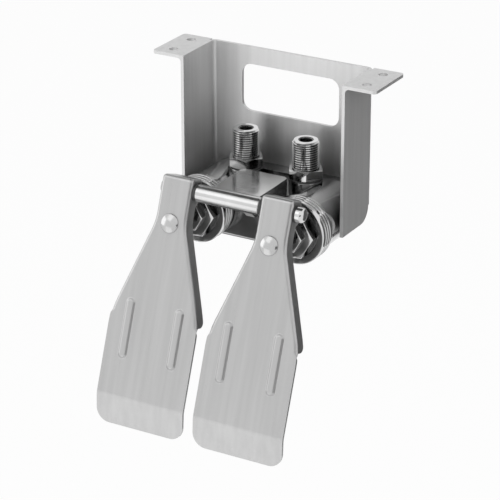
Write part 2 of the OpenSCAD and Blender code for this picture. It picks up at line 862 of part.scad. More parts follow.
module ring_nut(side) {
    chamfer = (ring_r - neck_r) / 3;
    step = (ring_length - 2 * chamfer) / (ring_grooves + 1);
    color([0.80, 0.81, 0.83])
    on_unit(side)
        difference() {
            translate([0, ring_back, 0])
                rotate([90, 0, 0])
                    rotate_extrude()
                        difference() {
                            polygon([
                                [neck_r + fit_gap, 0],
                                [ring_r - chamfer, 0],
                                [ring_r, chamfer],
                                [ring_r, ring_length - chamfer],
                                [ring_r - chamfer, ring_length],
                                [ring_open_r, ring_length],
                                [ring_open_r, ring_length - ring_lip_t],
                                [neck_r + fit_gap, ring_length - ring_lip_t]
                            ]);
                            for (i = [1 : ring_grooves])
                                translate([ring_r, chamfer + i * step])
                                    circle(r = ring_groove);
                        }
            for (i = [0 : ring_holes - 1])
                rotate([0, 360 * (i + 0.5) / ring_holes, 0])
                    translate([0, ring_front + chamfer + step / 2 + step, 0])
                        along_x(ring_hole_r, ring_r - ring_hole_depth, ring_r + 1);
        }
}

module gland_nut(side) {
    color([0.78, 0.79, 0.80])
    on_unit(side)
        difference() {
            union() {
                hex_y(gland_flats, gland_front, hex_front);
                along_y(packing_r - fit_gap, hex_front - 1, nose_back);
            }
            along_y(stem_r + run_gap, gland_front - 1, nose_back + 1);
        }
}

module bonnet_gasket(side) {
    color([0.22, 0.22, 0.22])
    on_unit(side)
        difference() {
            along_y(neck_r - fit_gap, flange_back, chamber_front);
            along_y(front_bore_r, flange_back - 1, chamber_front + 1);
        }
}

module seat_ring(side) {
    color([0.76, 0.62, 0.33])
    on_unit(side)
        difference() {
            along_y(supply_bore_r - fit_gap, seat_front, seat_back);
            along_y(seat_bore_r, seat_front - 1, seat_back + 1);
        }
}

module stem_o_ring(side) {
    color([0.10, 0.10, 0.10])
    on_unit(side)
        translate([0, hex_front + packing_depth - o_ring_r, 0])
            rotate([90, 0, 0])
                rotate_extrude()
                    translate([o_ring_mid, 0]) circle(r = o_ring_r);
}

module return_spring(side) {
    color([0.74, 0.75, 0.76])
    on_unit(side)
        translate([0, supply_back - side_gap - wire_r, 0])
            rotate([90, 0, 0])
                polyhedron(points = curl_points, faces = concat(curl_sides, curl_ends));
}

module inlet_shank(side) {
    color([0.80, 0.81, 0.83])
    on_inlet(side)
        difference() {
            union() {
                translate([0, 0, boss_top - spigot_length])
                    cylinder(r = spigot_r, h = spigot_length + inlet_gasket_t + 1);
                translate([0, 0, inlet_base])
                    cylinder(r = inlet_hex_flats / sqrt(3), h = inlet_hex_h, $fn = 6);
                translate([0, 0, thread_base])
                    cylinder(r = shank_r, h = inlet_length);
            }
            translate([0, 0, boss_top - spigot_length - 1])
                cylinder(r = water_r, h = inlet_top - boss_top + spigot_length + 2);
        }
}

module inlet_gasket(side) {
    color([0.22, 0.22, 0.22])
    on_inlet(side)
        translate([0, 0, boss_top])
            difference() {
                cylinder(r = inlet_hex_flats / 2, h = inlet_gasket_t);
                translate([0, 0, -1])
                    cylinder(r = spigot_r + fit_gap, h = inlet_gasket_t + 2);
            }
}

module inlet_strainer(side) {
    wall = (water_r - fit_gap) / 8;
    length = inlet_length / 2;
    color([0.74, 0.75, 0.76])
    on_inlet(side)
        difference() {
            translate([0, 0, inlet_top - length - wall])
                cylinder(r = water_r - fit_gap, h = length);
            translate([0, 0, inlet_top - length])
                cylinder(r = water_r - fit_gap - wall, h = length);
        }
}

module left_pedal() { pedal(-1); }
module left_push_screw() { push_screw(-1); }
module left_lock_nut() { lock_nut(-1); }
module left_pedal_bush() { pedal_bush(-1); }
module left_stem() { stem(-1); }
module left_poppet() { poppet(-1); }
module left_seat_washer() { seat_washer(-1); }
module left_bonnet() { bonnet(-1); }
module left_ring_nut() { ring_nut(-1); }
module left_gland_nut() { gland_nut(-1); }
module left_bonnet_gasket() { bonnet_gasket(-1); }
module left_seat_ring() { seat_ring(-1); }
module left_stem_o_ring() { stem_o_ring(-1); }
module left_return_spring() { return_spring(-1); }
module left_inlet_shank() { inlet_shank(-1); }
module left_inlet_gasket() { inlet_gasket(-1); }
module left_inlet_strainer() { inlet_strainer(-1); }
module right_pedal() { pedal(1); }
module right_push_screw() { push_screw(1); }
module right_lock_nut() { lock_nut(1); }
module right_pedal_bush() { pedal_bush(1); }
module right_stem() { stem(1); }
module right_poppet() { poppet(1); }
module right_seat_washer() { seat_washer(1); }
module right_bonnet() { bonnet(1); }
module right_ring_nut() { ring_nut(1); }
module right_gland_nut() { gland_nut(1); }
module right_bonnet_gasket() { bonnet_gasket(1); }
module right_seat_ring() { seat_ring(1); }
module right_stem_o_ring() { stem_o_ring(1); }
module right_return_spring() { return_spring(1); }
module right_inlet_shank() { inlet_shank(1); }
module right_inlet_gasket() { inlet_gasket(1); }
module right_inlet_strainer() { inlet_strainer(1); }

mounting_bracket();
valve_body();
hinge_pin();
hinge_cap_nut();
hinge_washers();
outlet_shank();
outlet_washer();
outlet_locknut();
body_bolts();
body_bolt_washers();
left_pedal();
left_push_screw();
left_lock_nut();
left_pedal_bush();
left_stem();
left_poppet();
left_seat_washer();
left_bonnet();
left_ring_nut();
left_gland_nut();
left_bonnet_gasket();
left_seat_ring();
left_stem_o_ring();
left_return_spring();
left_inlet_shank();
left_inlet_gasket();
left_inlet_strainer();
right_pedal();
right_push_screw();
right_lock_nut();
right_pedal_bush();
right_stem();
right_poppet();
right_seat_washer();
right_bonnet();
right_ring_nut();
right_gland_nut();
right_bonnet_gasket();
right_seat_ring();
right_stem_o_ring();
right_return_spring();
right_inlet_shank();
right_inlet_gasket();
right_inlet_strainer();
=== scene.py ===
# %% [markdown]
# Double pedal tap valve. Two pressed steel pedals hang from one hinge pin, in front
# of two chrome valve units that a folded bracket holds. The solids of the part are
# the frame of this scene: they give every place and every motion. The scene models
# the pieces again with rounded folds, chamfers and threads, and gives them finishes.

# %% Load the frame
import math

import bmesh
import bpy
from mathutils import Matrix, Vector


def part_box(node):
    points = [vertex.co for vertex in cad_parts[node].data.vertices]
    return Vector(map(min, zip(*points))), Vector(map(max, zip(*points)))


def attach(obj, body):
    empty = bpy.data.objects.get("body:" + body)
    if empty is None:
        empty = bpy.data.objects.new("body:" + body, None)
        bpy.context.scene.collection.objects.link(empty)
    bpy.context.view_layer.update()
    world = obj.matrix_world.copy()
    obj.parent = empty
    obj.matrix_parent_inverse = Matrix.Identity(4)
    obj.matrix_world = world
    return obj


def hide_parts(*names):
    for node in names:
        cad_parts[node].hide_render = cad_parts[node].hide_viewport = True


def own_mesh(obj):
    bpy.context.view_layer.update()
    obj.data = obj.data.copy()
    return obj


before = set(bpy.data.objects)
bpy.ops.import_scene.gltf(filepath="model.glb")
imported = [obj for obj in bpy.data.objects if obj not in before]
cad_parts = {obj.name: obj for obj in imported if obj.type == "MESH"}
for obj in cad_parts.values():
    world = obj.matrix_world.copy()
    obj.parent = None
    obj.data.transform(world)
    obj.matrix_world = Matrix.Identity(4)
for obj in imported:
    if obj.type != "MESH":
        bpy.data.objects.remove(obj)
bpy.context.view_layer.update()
MM = 0.001
scene = bpy.context.scene
print("nodes:", len(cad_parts))

# %% [markdown]
# The camera stands where the photo was taken from: to the right of the valve, and high
# enough to look down at about 23 degrees. A long lens fills the frame with the valve and
# keeps its upright edges almost parallel. The lens could be shifted instead of tilted,
# but then the other views of the object would be off centre, so it is tilted.

# %% Camera
EYE = Vector((0.826, -1.482, 0.579))
AIM = Vector((0.0032, -0.0459, -0.1357))
SENSOR, FOCAL = 36, 172

lens = bpy.data.cameras.new("camera")
lens.sensor_width = SENSOR
lens.lens = FOCAL
camera = bpy.data.objects.new("camera", lens)
camera.location = EYE
camera.rotation_euler = (AIM - EYE).to_track_quat("-Z", "Y").to_euler()
scene.collection.objects.link(camera)
scene.camera = camera
scene.view_settings.view_transform = "Standard"
print("camera distance:", round((AIM - EYE).length, 3), "m")

# %% [markdown]
# The floor is a pale plane below the pedals. It could simply glow white, but then it
# would show no shadow. So what the camera and the metal see of it is mostly white, and
# the rest is a matt surface, which keeps the valve's shadow.

# %% Floor
FLOOR_Z, FLOOR_SIZE = -0.8, 12
FLOOR_GREY, FLOOR_WHITE = 0.8, 0.95


def start():
    """Go back to object mode with nothing selected."""
    if bpy.context.mode != "OBJECT":
        bpy.ops.object.mode_set(mode="OBJECT")
    bpy.ops.object.select_all(action="DESELECT")


def called(name):
    """Name the object that the last operator added."""
    obj = bpy.context.object
    obj.name = obj.data.name = name
    return obj


def add_node(tree, kind, operation=None, **inputs):
    """Add a node and set its operation and inputs, with _ for a space in a name."""
    node = tree.nodes.new("ShaderNode" + kind)
    if operation:
        node.operation = operation
    for name, value in inputs.items():
        node.inputs[name.replace("_", " ")].default_value = value
    return node


def seen_rays(tree):
    """A socket that is 1 for rays from the camera, off metal and through glass."""
    path = add_node(tree, "LightPath")
    total = path.outputs["Is Camera Ray"]
    for name in ("Is Glossy Ray", "Is Transmission Ray"):
        add = add_node(tree, "Math", "MAXIMUM")
        tree.links.new(total, add.inputs[0])
        tree.links.new(path.outputs[name], add.inputs[1])
        total = add.outputs[0]
    return total


def mixed(tree, kind, share, first, second):
    """Mix two shaders by a socket, and make the mix the output of this kind."""
    mix = add_node(tree, "MixShader")
    tree.links.new(share, mix.inputs["Fac"])
    tree.links.new(first.outputs[0], mix.inputs[1])
    tree.links.new(second.outputs[0], mix.inputs[2])
    tree.links.new(mix.outputs[0], add_node(tree, kind).inputs["Surface"])


def pale_floor():
    """A matt grey with a white glow over most of it."""
    material = bpy.data.materials.new("pale_floor")
    material.use_nodes = True
    tree = material.node_tree
    tree.nodes.clear()
    matt = add_node(tree, "BsdfDiffuse", Color=(FLOOR_GREY, FLOOR_GREY, FLOOR_GREY, 1))
    share = add_node(tree, "Math", "MULTIPLY")
    share.inputs[1].default_value = FLOOR_WHITE
    tree.links.new(seen_rays(tree), share.inputs[0])
    mixed(tree, "OutputMaterial", share.outputs[0], matt, add_node(tree, "Emission"))
    return material


start()
bpy.ops.mesh.primitive_plane_add(size=FLOOR_SIZE, location=(0, 0, FLOOR_Z))
floor = called("floor")
floor.data.materials.append(pale_floor())

# %% [markdown]
# The light is that of a white studio. What the camera and the metal see of the world is
# plain white. Matt surfaces get about half of that from it, because the lamps add the
# rest. With one level for both, either the background would be grey or the matt pieces
# would be too bright.

# %% World
WORLD_LEVEL = 0.55


def white_world():
    """White as it is seen, and dimmer as it lights matt surfaces."""
    world = bpy.data.worlds.new("studio")
    world.use_nodes = True
    tree = world.node_tree
    tree.nodes.clear()
    dim = add_node(tree, "Background", Color=(1, 1, 1, 1), Strength=WORLD_LEVEL)
    white = add_node(tree, "Background", Color=(1, 1, 1, 1), Strength=1)
    mixed(tree, "OutputWorld", seen_rays(tree), dim, white)
    return world


scene.world = white_world()
print("world's level on matt surfaces:", WORLD_LEVEL)

# %% [markdown]
# A large soft lamp stands in front on the left and a weaker one on the right. Bright
# metal shows what stands round it, and these two would be glaring squares in it, so
# metal doesn't show them. Three weak lamps are there for their reflections: one gives
# the necks and the hinge barrel a bright line, one makes the lips paler, and the one on
# the left lights the left flanks of the ribs.

# %% Lamps
def lamp(name, place, size, power, mirrored=True):
    """A square lamp that faces the valve. Metal shows it only if it is mirrored."""
    light = bpy.data.lights.new(name, "AREA")
    light.size = size
    light.energy = power
    obj = bpy.data.objects.new(name, light)
    obj.location = place
    obj.rotation_euler = (AIM - Vector(place)).to_track_quat("-Z", "Y").to_euler()
    obj.visible_glossy = mirrored
    scene.collection.objects.link(obj)


lamp("front_lamp", (-1.1, -1.5, 1.3), 1.4, 21.5, mirrored=False)
lamp("side_lamp", (1.3, -0.9, 0.6), 0.8, 12, mirrored=False)
lamp("top_lamp", (-0.60, -0.90, 0.80), 0.7, 0.8)
lamp("low_lamp", (-0.40, -0.85, -0.50), 0.6, 0.4)
lamp("left_lamp", (-1.30, -0.60, 0.10), 0.8, 1.6)
print("lamps: 5, of which metal shows 3")

# %% [markdown]
# Four dark cards stand behind on the right, beside the camera, above and below, as they
# do round real chrome in a studio. Without them it would be white on white. Only
# reflections see them, so they throw no shadow and show in no view.

# %% Dark cards
CARD_GREY = 0.09


def dark_card(name, place, width, height):
    """A dark card that faces the valve, and that only reflections see."""
    start()
    bpy.ops.mesh.primitive_plane_add(size=1)
    card = called(name)
    card.scale = (width, height, 1)
    card.location = place
    card.rotation_euler = (AIM - Vector(place)).to_track_quat("Z", "Y").to_euler()
    card.data.materials.append(card_grey)
    card.visible_camera = card.visible_diffuse = False
    card.visible_shadow = card.visible_transmission = False


card_grey = bpy.data.materials.new("card_grey")
card_grey.use_nodes = True
card_shader = card_grey.node_tree.nodes["Principled BSDF"]
card_shader.inputs["Base Color"].default_value = (CARD_GREY, CARD_GREY, CARD_GREY, 1)
dark_card("card_right", (0.50, 0.62, -0.25), 0.75, 0.9)
dark_card("card_front", (0.92, -1.20, 0.12), 1.1, 0.5)
dark_card("card_above", (0.0, 0.10, 0.46), 0.8, 0.5)
dark_card("card_low", (-0.28, 0.14, -0.62), 0.5, 0.5)
print("cards: 4")

# %% [markdown]
# Each finish is one shader with a few patterns. The patterns are given by the size of
# their marks in metres, and a Mapping node of the Texture kind divides by that size.
# A brushed grain is noise that is drawn out along the direction of the brush. It
# moves the roughness and the bump more than the colour, as on the real metal.

# %% Finishes: shader and patterns
def new_finish(name, colour, metallic, roughness):
    """A material with one shader."""
    material = bpy.data.materials.new(name)
    material.use_nodes = True
    shader = material.node_tree.nodes["Principled BSDF"]
    shader.inputs["Base Color"].default_value = (*colour, 1)
    shader.inputs["Metallic"].default_value = metallic
    shader.inputs["Roughness"].default_value = roughness
    return material


def marks(material, size, turn=0.0, detail=3.0):
    """Noise with marks of this size along X, Y and Z, turned about X."""
    tree = material.node_tree
    where = add_node(tree, "TexCoord")
    mapping = add_node(tree, "Mapping", Scale=size, Rotation=(turn, 0, 0))
    mapping.vector_type = "TEXTURE"
    texture = add_node(tree, "TexNoise", Scale=1, Detail=detail)
    tree.links.new(where.outputs["Object"], mapping.inputs["Vector"])
    tree.links.new(mapping.outputs["Vector"], texture.inputs["Vector"])
    return texture.outputs["Fac"]


def vary(material, name, source, low, high):
    """Move one number of the shader between two levels by a pattern."""
    tree = material.node_tree
    span = add_node(tree, "MapRange", From_Min=0.25, From_Max=0.75, To_Min=low, To_Max=high)
    tree.links.new(source, span.inputs["Value"])
    tree.links.new(span.outputs["Result"], tree.nodes["Principled BSDF"].inputs[name])


def relief(material, source, strength, depth):
    """Raise the surface a little by a pattern."""
    tree = material.node_tree
    bump = add_node(tree, "Bump", Strength=strength, Distance=depth)
    tree.links.new(source, bump.inputs["Height"])
    tree.links.new(bump.outputs["Normal"], tree.nodes["Principled BSDF"].inputs["Normal"])


print("patterns ready")

# %% [markdown]
# The colour moves a little with a broad pattern. Edges that hands and tools touch are
# polished paler: a Bevel node gives the normal of a rounded edge, and where it differs
# from the true normal there is an edge. An Ambient Occlusion node paints shade into the
# colour where metal stands close to metal. Both could be painted by hand, but nodes fit
# every piece.

# %% Finishes: wear and shade
WEAR_R = 0.5 * MM


def edges(material):
    """A socket that is 1 beside sharp edges, where handling polishes the metal."""
    tree = material.node_tree
    shape = add_node(tree, "NewGeometry")
    rounded = add_node(tree, "Bevel", Radius=WEAR_R)
    rounded.samples = 4
    likeness = add_node(tree, "VectorMath", "DOT_PRODUCT")
    span = add_node(tree, "MapRange", From_Min=0.98, From_Max=0.8)
    tree.links.new(shape.outputs["Normal"], likeness.inputs[0])
    tree.links.new(rounded.outputs["Normal"], likeness.inputs[1])
    tree.links.new(likeness.outputs["Value"], span.inputs["Value"])
    return span.outputs["Result"]


def tint(material, source, low, high, worn=None, worn_share=0.5):
    """Move the colour between two by a pattern, and towards a third on the edges."""
    tree = material.node_tree
    ramp = add_node(tree, "ValToRGB")
    ramp.color_ramp.elements[0].position = 0.3
    ramp.color_ramp.elements[0].color = (*low, 1)
    ramp.color_ramp.elements[1].position = 0.7
    ramp.color_ramp.elements[1].color = (*high, 1)
    tree.links.new(source, ramp.inputs["Fac"])
    result = ramp.outputs["Color"]
    if worn:
        share = add_node(tree, "Math", "MULTIPLY")
        share.inputs[1].default_value = worn_share
        tree.links.new(edges(material), share.inputs[0])
        mix = add_node(tree, "MixRGB", Color2=(*worn, 1))
        tree.links.new(share.outputs[0], mix.inputs["Fac"])
        tree.links.new(result, mix.inputs["Color1"])
        result = mix.outputs["Color"]
    tree.links.new(result, tree.nodes["Principled BSDF"].inputs["Base Color"])


def recess(material, reach, share):
    """Paint shade into the colour where other surfaces stand close."""
    tree = material.node_tree
    target = tree.nodes["Principled BSDF"].inputs["Base Color"]
    source = target.links[0].from_socket
    shade = add_node(tree, "AmbientOcclusion", Distance=reach)
    shade.samples = 8
    mix = add_node(tree, "MixRGB", Fac=share)
    tree.links.new(source, shade.inputs["Color"])
    tree.links.new(source, mix.inputs["Color1"])
    tree.links.new(shade.outputs["Color"], mix.inputs["Color2"])
    tree.links.new(mix.outputs["Color"], target)


def grey(level):
    """A colour with the same red, green and blue."""
    return (level, level, level)


print("wear and shade ready")

# %% [markdown]
# The pedals and the bracket are satin stainless sheet with an upright grain. The
# pedals lean, so their grain is turned with them. The valve units are chrome on brass,
# which is smoother and has only faint smears, and the cast body is chrome on a rougher
# skin. The pin is turned steel, the screws are polished steel, and the washers are
# nylon, rubber or fibre. One function for each kind of surface keeps them alike.

# %% Finishes
LEAN = math.radians(-20)
GRAIN, STREAK = (0.5 * MM, 0.5 * MM, 45 * MM), (5 * MM, 5 * MM, 120 * MM)
FINE = 0.05 * MM


def brushed(name, dark, light, worn, rough, turn, metallic=1.0):
    """Sheet or bar with a grain along Z, turned about X, and worn edges."""
    material = new_finish(name, light, metallic, rough)
    grain = marks(material, GRAIN, turn)
    tint(material, marks(material, STREAK, turn), dark, light, worn)
    vary(material, "Roughness", grain, rough - 0.07, rough + 0.07)
    relief(material, grain, 0.08, FINE)
    return material


def plated(name, dark, light, rough, smear, texture):
    """Bright metal with smears and a slight unevenness of these sizes."""
    material = new_finish(name, light, 1, rough)
    tint(material, marks(material, (25 * MM,) * 3), dark, light)
    smears = marks(material, (smear,) * 3, detail=5)
    vary(material, "Roughness", smears, rough * 0.6, rough * 1.5)
    relief(material, marks(material, (texture,) * 3, detail=2), 0.05, FINE)
    return material


def moulded(name, dark, light, rough, texture):
    """Dull plastic, rubber or fibre with a fine texture."""
    material = new_finish(name, light, 0, rough)
    tint(material, marks(material, (6 * MM,) * 3), dark, light)
    vary(material, "Roughness", marks(material, (2 * MM,) * 3), rough - 0.06, rough + 0.06)
    relief(material, marks(material, (texture,) * 3), 0.15, FINE)
    return material


pedal_steel = brushed("pedal_steel", grey(0.47), grey(0.52), grey(0.72), 0.34, LEAN)
bracket_steel = brushed("bracket_steel", grey(0.63), grey(0.69), grey(0.76), 0.42, 0, 0.85)
chrome = plated("chrome", grey(0.64), grey(0.70), 0.09, 18 * MM, 8 * MM)
cast_chrome = plated("cast_chrome", grey(0.58), grey(0.66), 0.16, 12 * MM, 2.5 * MM)
screw_steel = plated("screw_steel", grey(0.50), grey(0.56), 0.17, 6 * MM, 2 * MM)
pin_steel = brushed("pin_steel", grey(0.50), grey(0.60), grey(0.72), 0.26, math.radians(90))
brass = plated("brass", (0.55, 0.36, 0.13), (0.66, 0.46, 0.19), 0.22, 10 * MM, 2 * MM)
nylon = moulded("nylon", grey(0.03), grey(0.045), 0.42, 0.6 * MM)
rubber = moulded("rubber", grey(0.016), grey(0.026), 0.62, 0.4 * MM)
fibre = moulded("fibre", grey(0.035), grey(0.05), 0.7, 0.3 * MM)
# Shade is painted into the colour of these finishes where metal stands close to metal.
recess(pedal_steel, 20 * MM, 0.5)
recess(bracket_steel, 40 * MM, 0.15)
recess(chrome, 15 * MM, 0.8)
recess(cast_chrome, 60 * MM, 0.9)
recess(pin_steel, 15 * MM, 0.7)
FINISH = {
    "pedal_steel": pedal_steel, "bracket_steel": bracket_steel, "chrome": chrome,
    "pin_steel": pin_steel, "brass": brass, "nylon": nylon, "rubber": rubber,
    "fibre": fibre,
}
print("finishes:", sorted(FINISH))

# %% [markdown]
# These few helpers stand for the clicks of work by hand: select one object, pick
# points, edges or faces by their place, and extrude them. They could be picked by
# number, but a place still finds the right edges when an earlier step changes.

# %% Modelling tools: pick and extrude
def only(obj):
    """Select this object alone and make it the active one."""
    start()
    obj.select_set(True)
    bpy.context.view_layer.objects.active = obj


def edit(obj):
    """Open this object alone in edit mode."""
    only(obj)
    bpy.ops.object.mode_set(mode="EDIT")


def pick(obj, kind, test):
    """In edit mode, select the points, edges or faces whose middle passes the test."""
    bpy.ops.mesh.select_mode(type=kind)
    bpy.ops.mesh.select_all(action="DESELECT")
    net = bmesh.from_edit_mesh(obj.data)
    count = 0
    for item in {"VERT": net.verts, "EDGE": net.edges, "FACE": net.faces}[kind]:
        if kind == "VERT":
            middle = item.co
        elif kind == "EDGE":
            middle = (item.verts[0].co + item.verts[1].co) / 2
        else:
            middle = item.calc_center_median()
        if test(middle):
            item.select_set(True)
            count += 1
    net.select_flush_mode()
    bmesh.update_edit_mesh(obj.data)
    return count


def extrude(x, y, z):
    """In edit mode, extrude what is selected."""
    bpy.ops.mesh.extrude_region_move(TRANSFORM_OT_translate={"value": (x, y, z)})


def near(a, b, room=0.02 * MM):
    """True if two places are the same, within a hair."""
    return abs(a - b) < room


print("picking tools ready")

# %% [markdown]
# A modifier is added, set and applied at once, so that the next step works on the real
# mesh, and a cut is a Boolean modifier. At the end a piece is smoothed up to an angle,
# gets its finish and rides on its body, in place of the solid of the same piece.

# %% Modelling tools: change and settle
CREASE = math.radians(32)


def modify(obj, kind, **settings):
    """Add a modifier, set it and apply it."""
    only(obj)
    bpy.ops.object.modifier_add(type=kind)
    modifier = obj.modifiers[-1]
    for name, value in settings.items():
        setattr(modifier, name, value)
    bpy.ops.object.modifier_apply(modifier=modifier.name)


def cut(obj, tool, operation="DIFFERENCE"):
    """Cut the tool out of the object, or keep what they share, and delete the tool."""
    modify(obj, "BOOLEAN", operation=operation, object=tool, solver="EXACT")
    bpy.data.objects.remove(tool)


def soften(obj, width, segments=2, angle=40):
    """Break the sharp edges of a finished shape."""
    modify(obj, "BEVEL", width=width, segments=segments, limit_method="ANGLE",
           angle_limit=math.radians(angle), harden_normals=False)


def place(obj, where=(0, 0, 0), turn=(0, 0, 0)):
    """Turn and move a piece, and keep its place in its mesh."""
    only(obj)
    obj.rotation_euler = turn
    obj.location = where
    bpy.ops.object.transform_apply(location=True, rotation=True, scale=True)


def twin(obj, name):
    """A copy with a mesh of its own."""
    other = obj.copy()
    other.data = obj.data.copy()
    other.name = other.data.name = name
    scene.collection.objects.link(other)
    return other


def settle(obj, body, slot, *nodes, finish=None):
    """Smooth a finished piece, give it its finish and put it on its body."""
    only(obj)
    bpy.ops.object.shade_smooth_by_angle(angle=CREASE)
    modify(obj, "WEIGHTED_NORMAL", keep_sharp=True, weight=60)
    obj.data.materials.clear()
    obj.data.materials.append(finish or FINISH[slot])
    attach(obj, body)
    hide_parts(*nodes)
    low = [round(min(v.co[i] for v in obj.data.vertices) / MM, 1) for i in range(3)]
    high = [round(max(v.co[i] for v in obj.data.vertices) / MM, 1) for i in range(3)]
    print(obj.name, "faces:", len(obj.data.polygons), "from", low, "to", high)


print("modelling tools ready")

# %% [markdown]
# A pedal is one piece of 2 mm sheet: a neck round the hinge, a flare, a flat paddle
# and a lip that leans back. It could be one solid with bevels, but a sheet that is
# first folded and then given its thickness keeps the same wall everywhere. So the
# face is drawn row by row from the neck down, and its sides and top are extruded back.
# The rows round the neck and the hip follow from the radius of each bend.

# %% Pedal: the folded sheet
SHEET = 2 * MM
FACE = -8.3 * MM
NECK, PADDLE = 26.5 * MM, 76 * MM
NECK_TOP, FLARE, HIP, LIP = 10 * MM, -26 * MM, -98.5 * MM, -163.5 * MM
LIP_LENGTH, LIP_ANGLE = 22.7 * MM, math.radians(17)
FLANGE, TAB, EAR, BEND = 11 * MM, 15 * MM, 9.5 * MM, 3 * MM
NECK_BEND, HIP_BEND = 42 * MM, 60 * MM
OFF_MIDDLE = 5 * MM
FLARE_LEAN = math.atan2((PADDLE - NECK) / 2, FLARE - HIP)


def bend_rows(z, half, radius, lean, new_lean, steps=4):
    """Heights and half widths round a bend, where the sides take a new lean."""
    way = radius if new_lean > lean else -radius
    lead = radius * math.tan(abs(new_lean - lean) / 2)
    turns = [lean + (new_lean - lean) * step / steps for step in range(steps + 1)]
    first_z, first_half = z + lead * math.cos(lean), half - lead * math.sin(lean)
    return [(first_z - way * (math.sin(turn) - math.sin(lean)),
             first_half - way * (math.cos(turn) - math.cos(lean))) for turn in turns]


NECK_ROWS = bend_rows(FLARE, NECK / 2, NECK_BEND, 0, FLARE_LEAN)
HIP_ROWS = bend_rows(HIP, PADDLE / 2, HIP_BEND, FLARE_LEAN, 0)
ROWS = NECK_ROWS + HIP_ROWS
NECK_END, FLANGE_END = ROWS[0][0], HIP_ROWS[2][0]


def half_width(z):
    """Half the width of the neck or the flare at a height."""
    rows = [(NECK_TOP, NECK / 2)] + ROWS
    for (z0, w0), (z1, w1) in zip(rows, rows[1:]):
        if z1 - 1e-7 <= z <= z0 + 1e-7:
            return w0 + (w1 - w0) * (z0 - z) / (z0 - z1)
    return PADDLE / 2


start()
bpy.ops.mesh.primitive_plane_add(size=1)
pedal = called("left_pedal_sheet")
pedal.scale = (NECK, NECK_TOP - NECK_END, 1)
place(pedal, (0, FACE, (NECK_TOP + NECK_END) / 2), (math.radians(90), 0, 0))
edit(pedal)
pick(pedal, "EDGE", lambda p: near(p.z, NECK_END))
for (z0, w0), (z1, w1) in zip(ROWS, ROWS[1:]):
    extrude(0, 0, z1 - z0)
    bpy.ops.transform.resize(value=(w1 / w0, 1, 1), center_override=(0, 0, 0))
extrude(0, 0, LIP - ROWS[-1][0])
extrude(0, math.sin(LIP_ANGLE) * LIP_LENGTH, -math.cos(LIP_ANGLE) * LIP_LENGTH)
sides = pick(pedal, "EDGE", lambda p: p.z > FLANGE_END + MM and abs(p.x) > OFF_MIDDLE)
extrude(0, FLANGE, 0)
pick(pedal, "EDGE", lambda p: near(p.z, NECK_TOP) and near(p.y, FACE))
extrude(0, TAB, 0)
print("rows of the face:", len(ROWS) + 2, "side edges folded:", sides)

# %% [markdown]
# The neck's flanges widen into round ears where the pin goes through. They could be
# separate discs, but the real ears are part of the sheet. So cuts across the flange give
# points on its back edge, and each point is moved out to the ear's circle.

# %% Pedal: ears
ear_steps = [math.radians(a) for a in (-73, -56, -38, -19, 0, 20, 45)]
for step in ear_steps:
    pick(pedal, "FACE", lambda p: abs(p.x) > NECK / 2 - 0.1 * MM and p.y > FACE + MM
         and NECK_END < p.z < NECK_TOP - 0.1 * MM)
    bpy.ops.mesh.bisect(plane_co=(0, 0, EAR * math.sin(step)), plane_no=(0, 0, 1))
for step in ear_steps + [None]:
    height = NECK_TOP if step is None else EAR * math.sin(step)
    depth = FACE + TAB if step is None else EAR * math.cos(step)
    pick(pedal, "VERT", lambda p: near(p.y, FACE + FLANGE) and near(p.z, height)
         and abs(p.x) > OFF_MIDDLE)
    bpy.ops.transform.translate(value=(0, depth - FACE - FLANGE, 0))
print("points on each ear:", len(ear_steps) + 1)

# %% [markdown]
# A bevel turns a fold line into a bend and a sharp corner into a round one, and the
# Solidify modifier then gives the sheet its wall. Where the fold runs out at the hip,
# the wall would stand a little off the plane behind, so the inner face is flattened.

# %% Pedal: bends, corners and wall
LIP_BEND, LIP_CORNER, FLANGE_CORNER = 2 * MM, 11 * MM, 6 * MM
RUN_OUT = 3.3 * MM

bpy.ops.mesh.select_all(action="SELECT")
bpy.ops.mesh.remove_doubles(threshold=0.01 * MM)
bpy.ops.mesh.normals_make_consistent(inside=False)
folds = pick(pedal, "EDGE", lambda p: (near(p.y, FACE) and p.z > FLANGE_END + MM
                                       and near(abs(p.x), half_width(p.z), 0.05 * MM))
             or (near(p.z, NECK_TOP) and near(p.y, FACE))
             or (near(p.z, NECK_TOP) and abs(p.x) > OFF_MIDDLE))
bpy.ops.mesh.bevel(offset=BEND, segments=5, affect="EDGES", clamp_overlap=False)
pick(pedal, "EDGE", lambda p: near(p.z, LIP) and near(p.y, FACE) and near(p.x, 0))
bpy.ops.mesh.bevel(offset=LIP_BEND, segments=4, affect="EDGES")
pick(pedal, "VERT", lambda p: p.z < LIP - LIP_LENGTH * 0.9)
bpy.ops.mesh.bevel(offset=LIP_CORNER, segments=9, affect="VERTICES")
pick(pedal, "VERT", lambda p: near(p.z, FLANGE_END) and p.y > FACE + FLANGE - 0.1 * MM)
bpy.ops.mesh.bevel(offset=FLANGE_CORNER, segments=6, affect="VERTICES")
start()
on_flare = Vector((0, FACE, -0.06))
front = min(pedal.data.polygons, key=lambda f: (f.center - on_flare).length)
if front.normal.y > 0:
    pedal.data.flip_normals()
modify(pedal, "SOLIDIFY", thickness=SHEET, offset=-1, use_even_offset=True)
edit(pedal)
pick(pedal, "VERT", lambda p: near(p.y, FACE + SHEET, 0.05 * MM)
     or (near(p.z, FLANGE_END - RUN_OUT, 0.5 * MM) and p.y > FACE + MM))
bpy.ops.transform.resize(value=(1, 0, 1), center_override=(0, FACE + SHEET, 0))
start()
print("fold edges:", folds, "faces:", len(pedal.data.polygons))

# %% [markdown]
# Two ribs stiffen the paddle. A press raises them out of the sheet, so each has the
# same shape behind as in front. One rib is modelled: a disc is stretched into a slot
# shape, and rows of insets raise it in a soft curve. A copy of it, moved back by the
# sheet's thickness, cuts the hollow behind, and the rib itself is joined to the front.

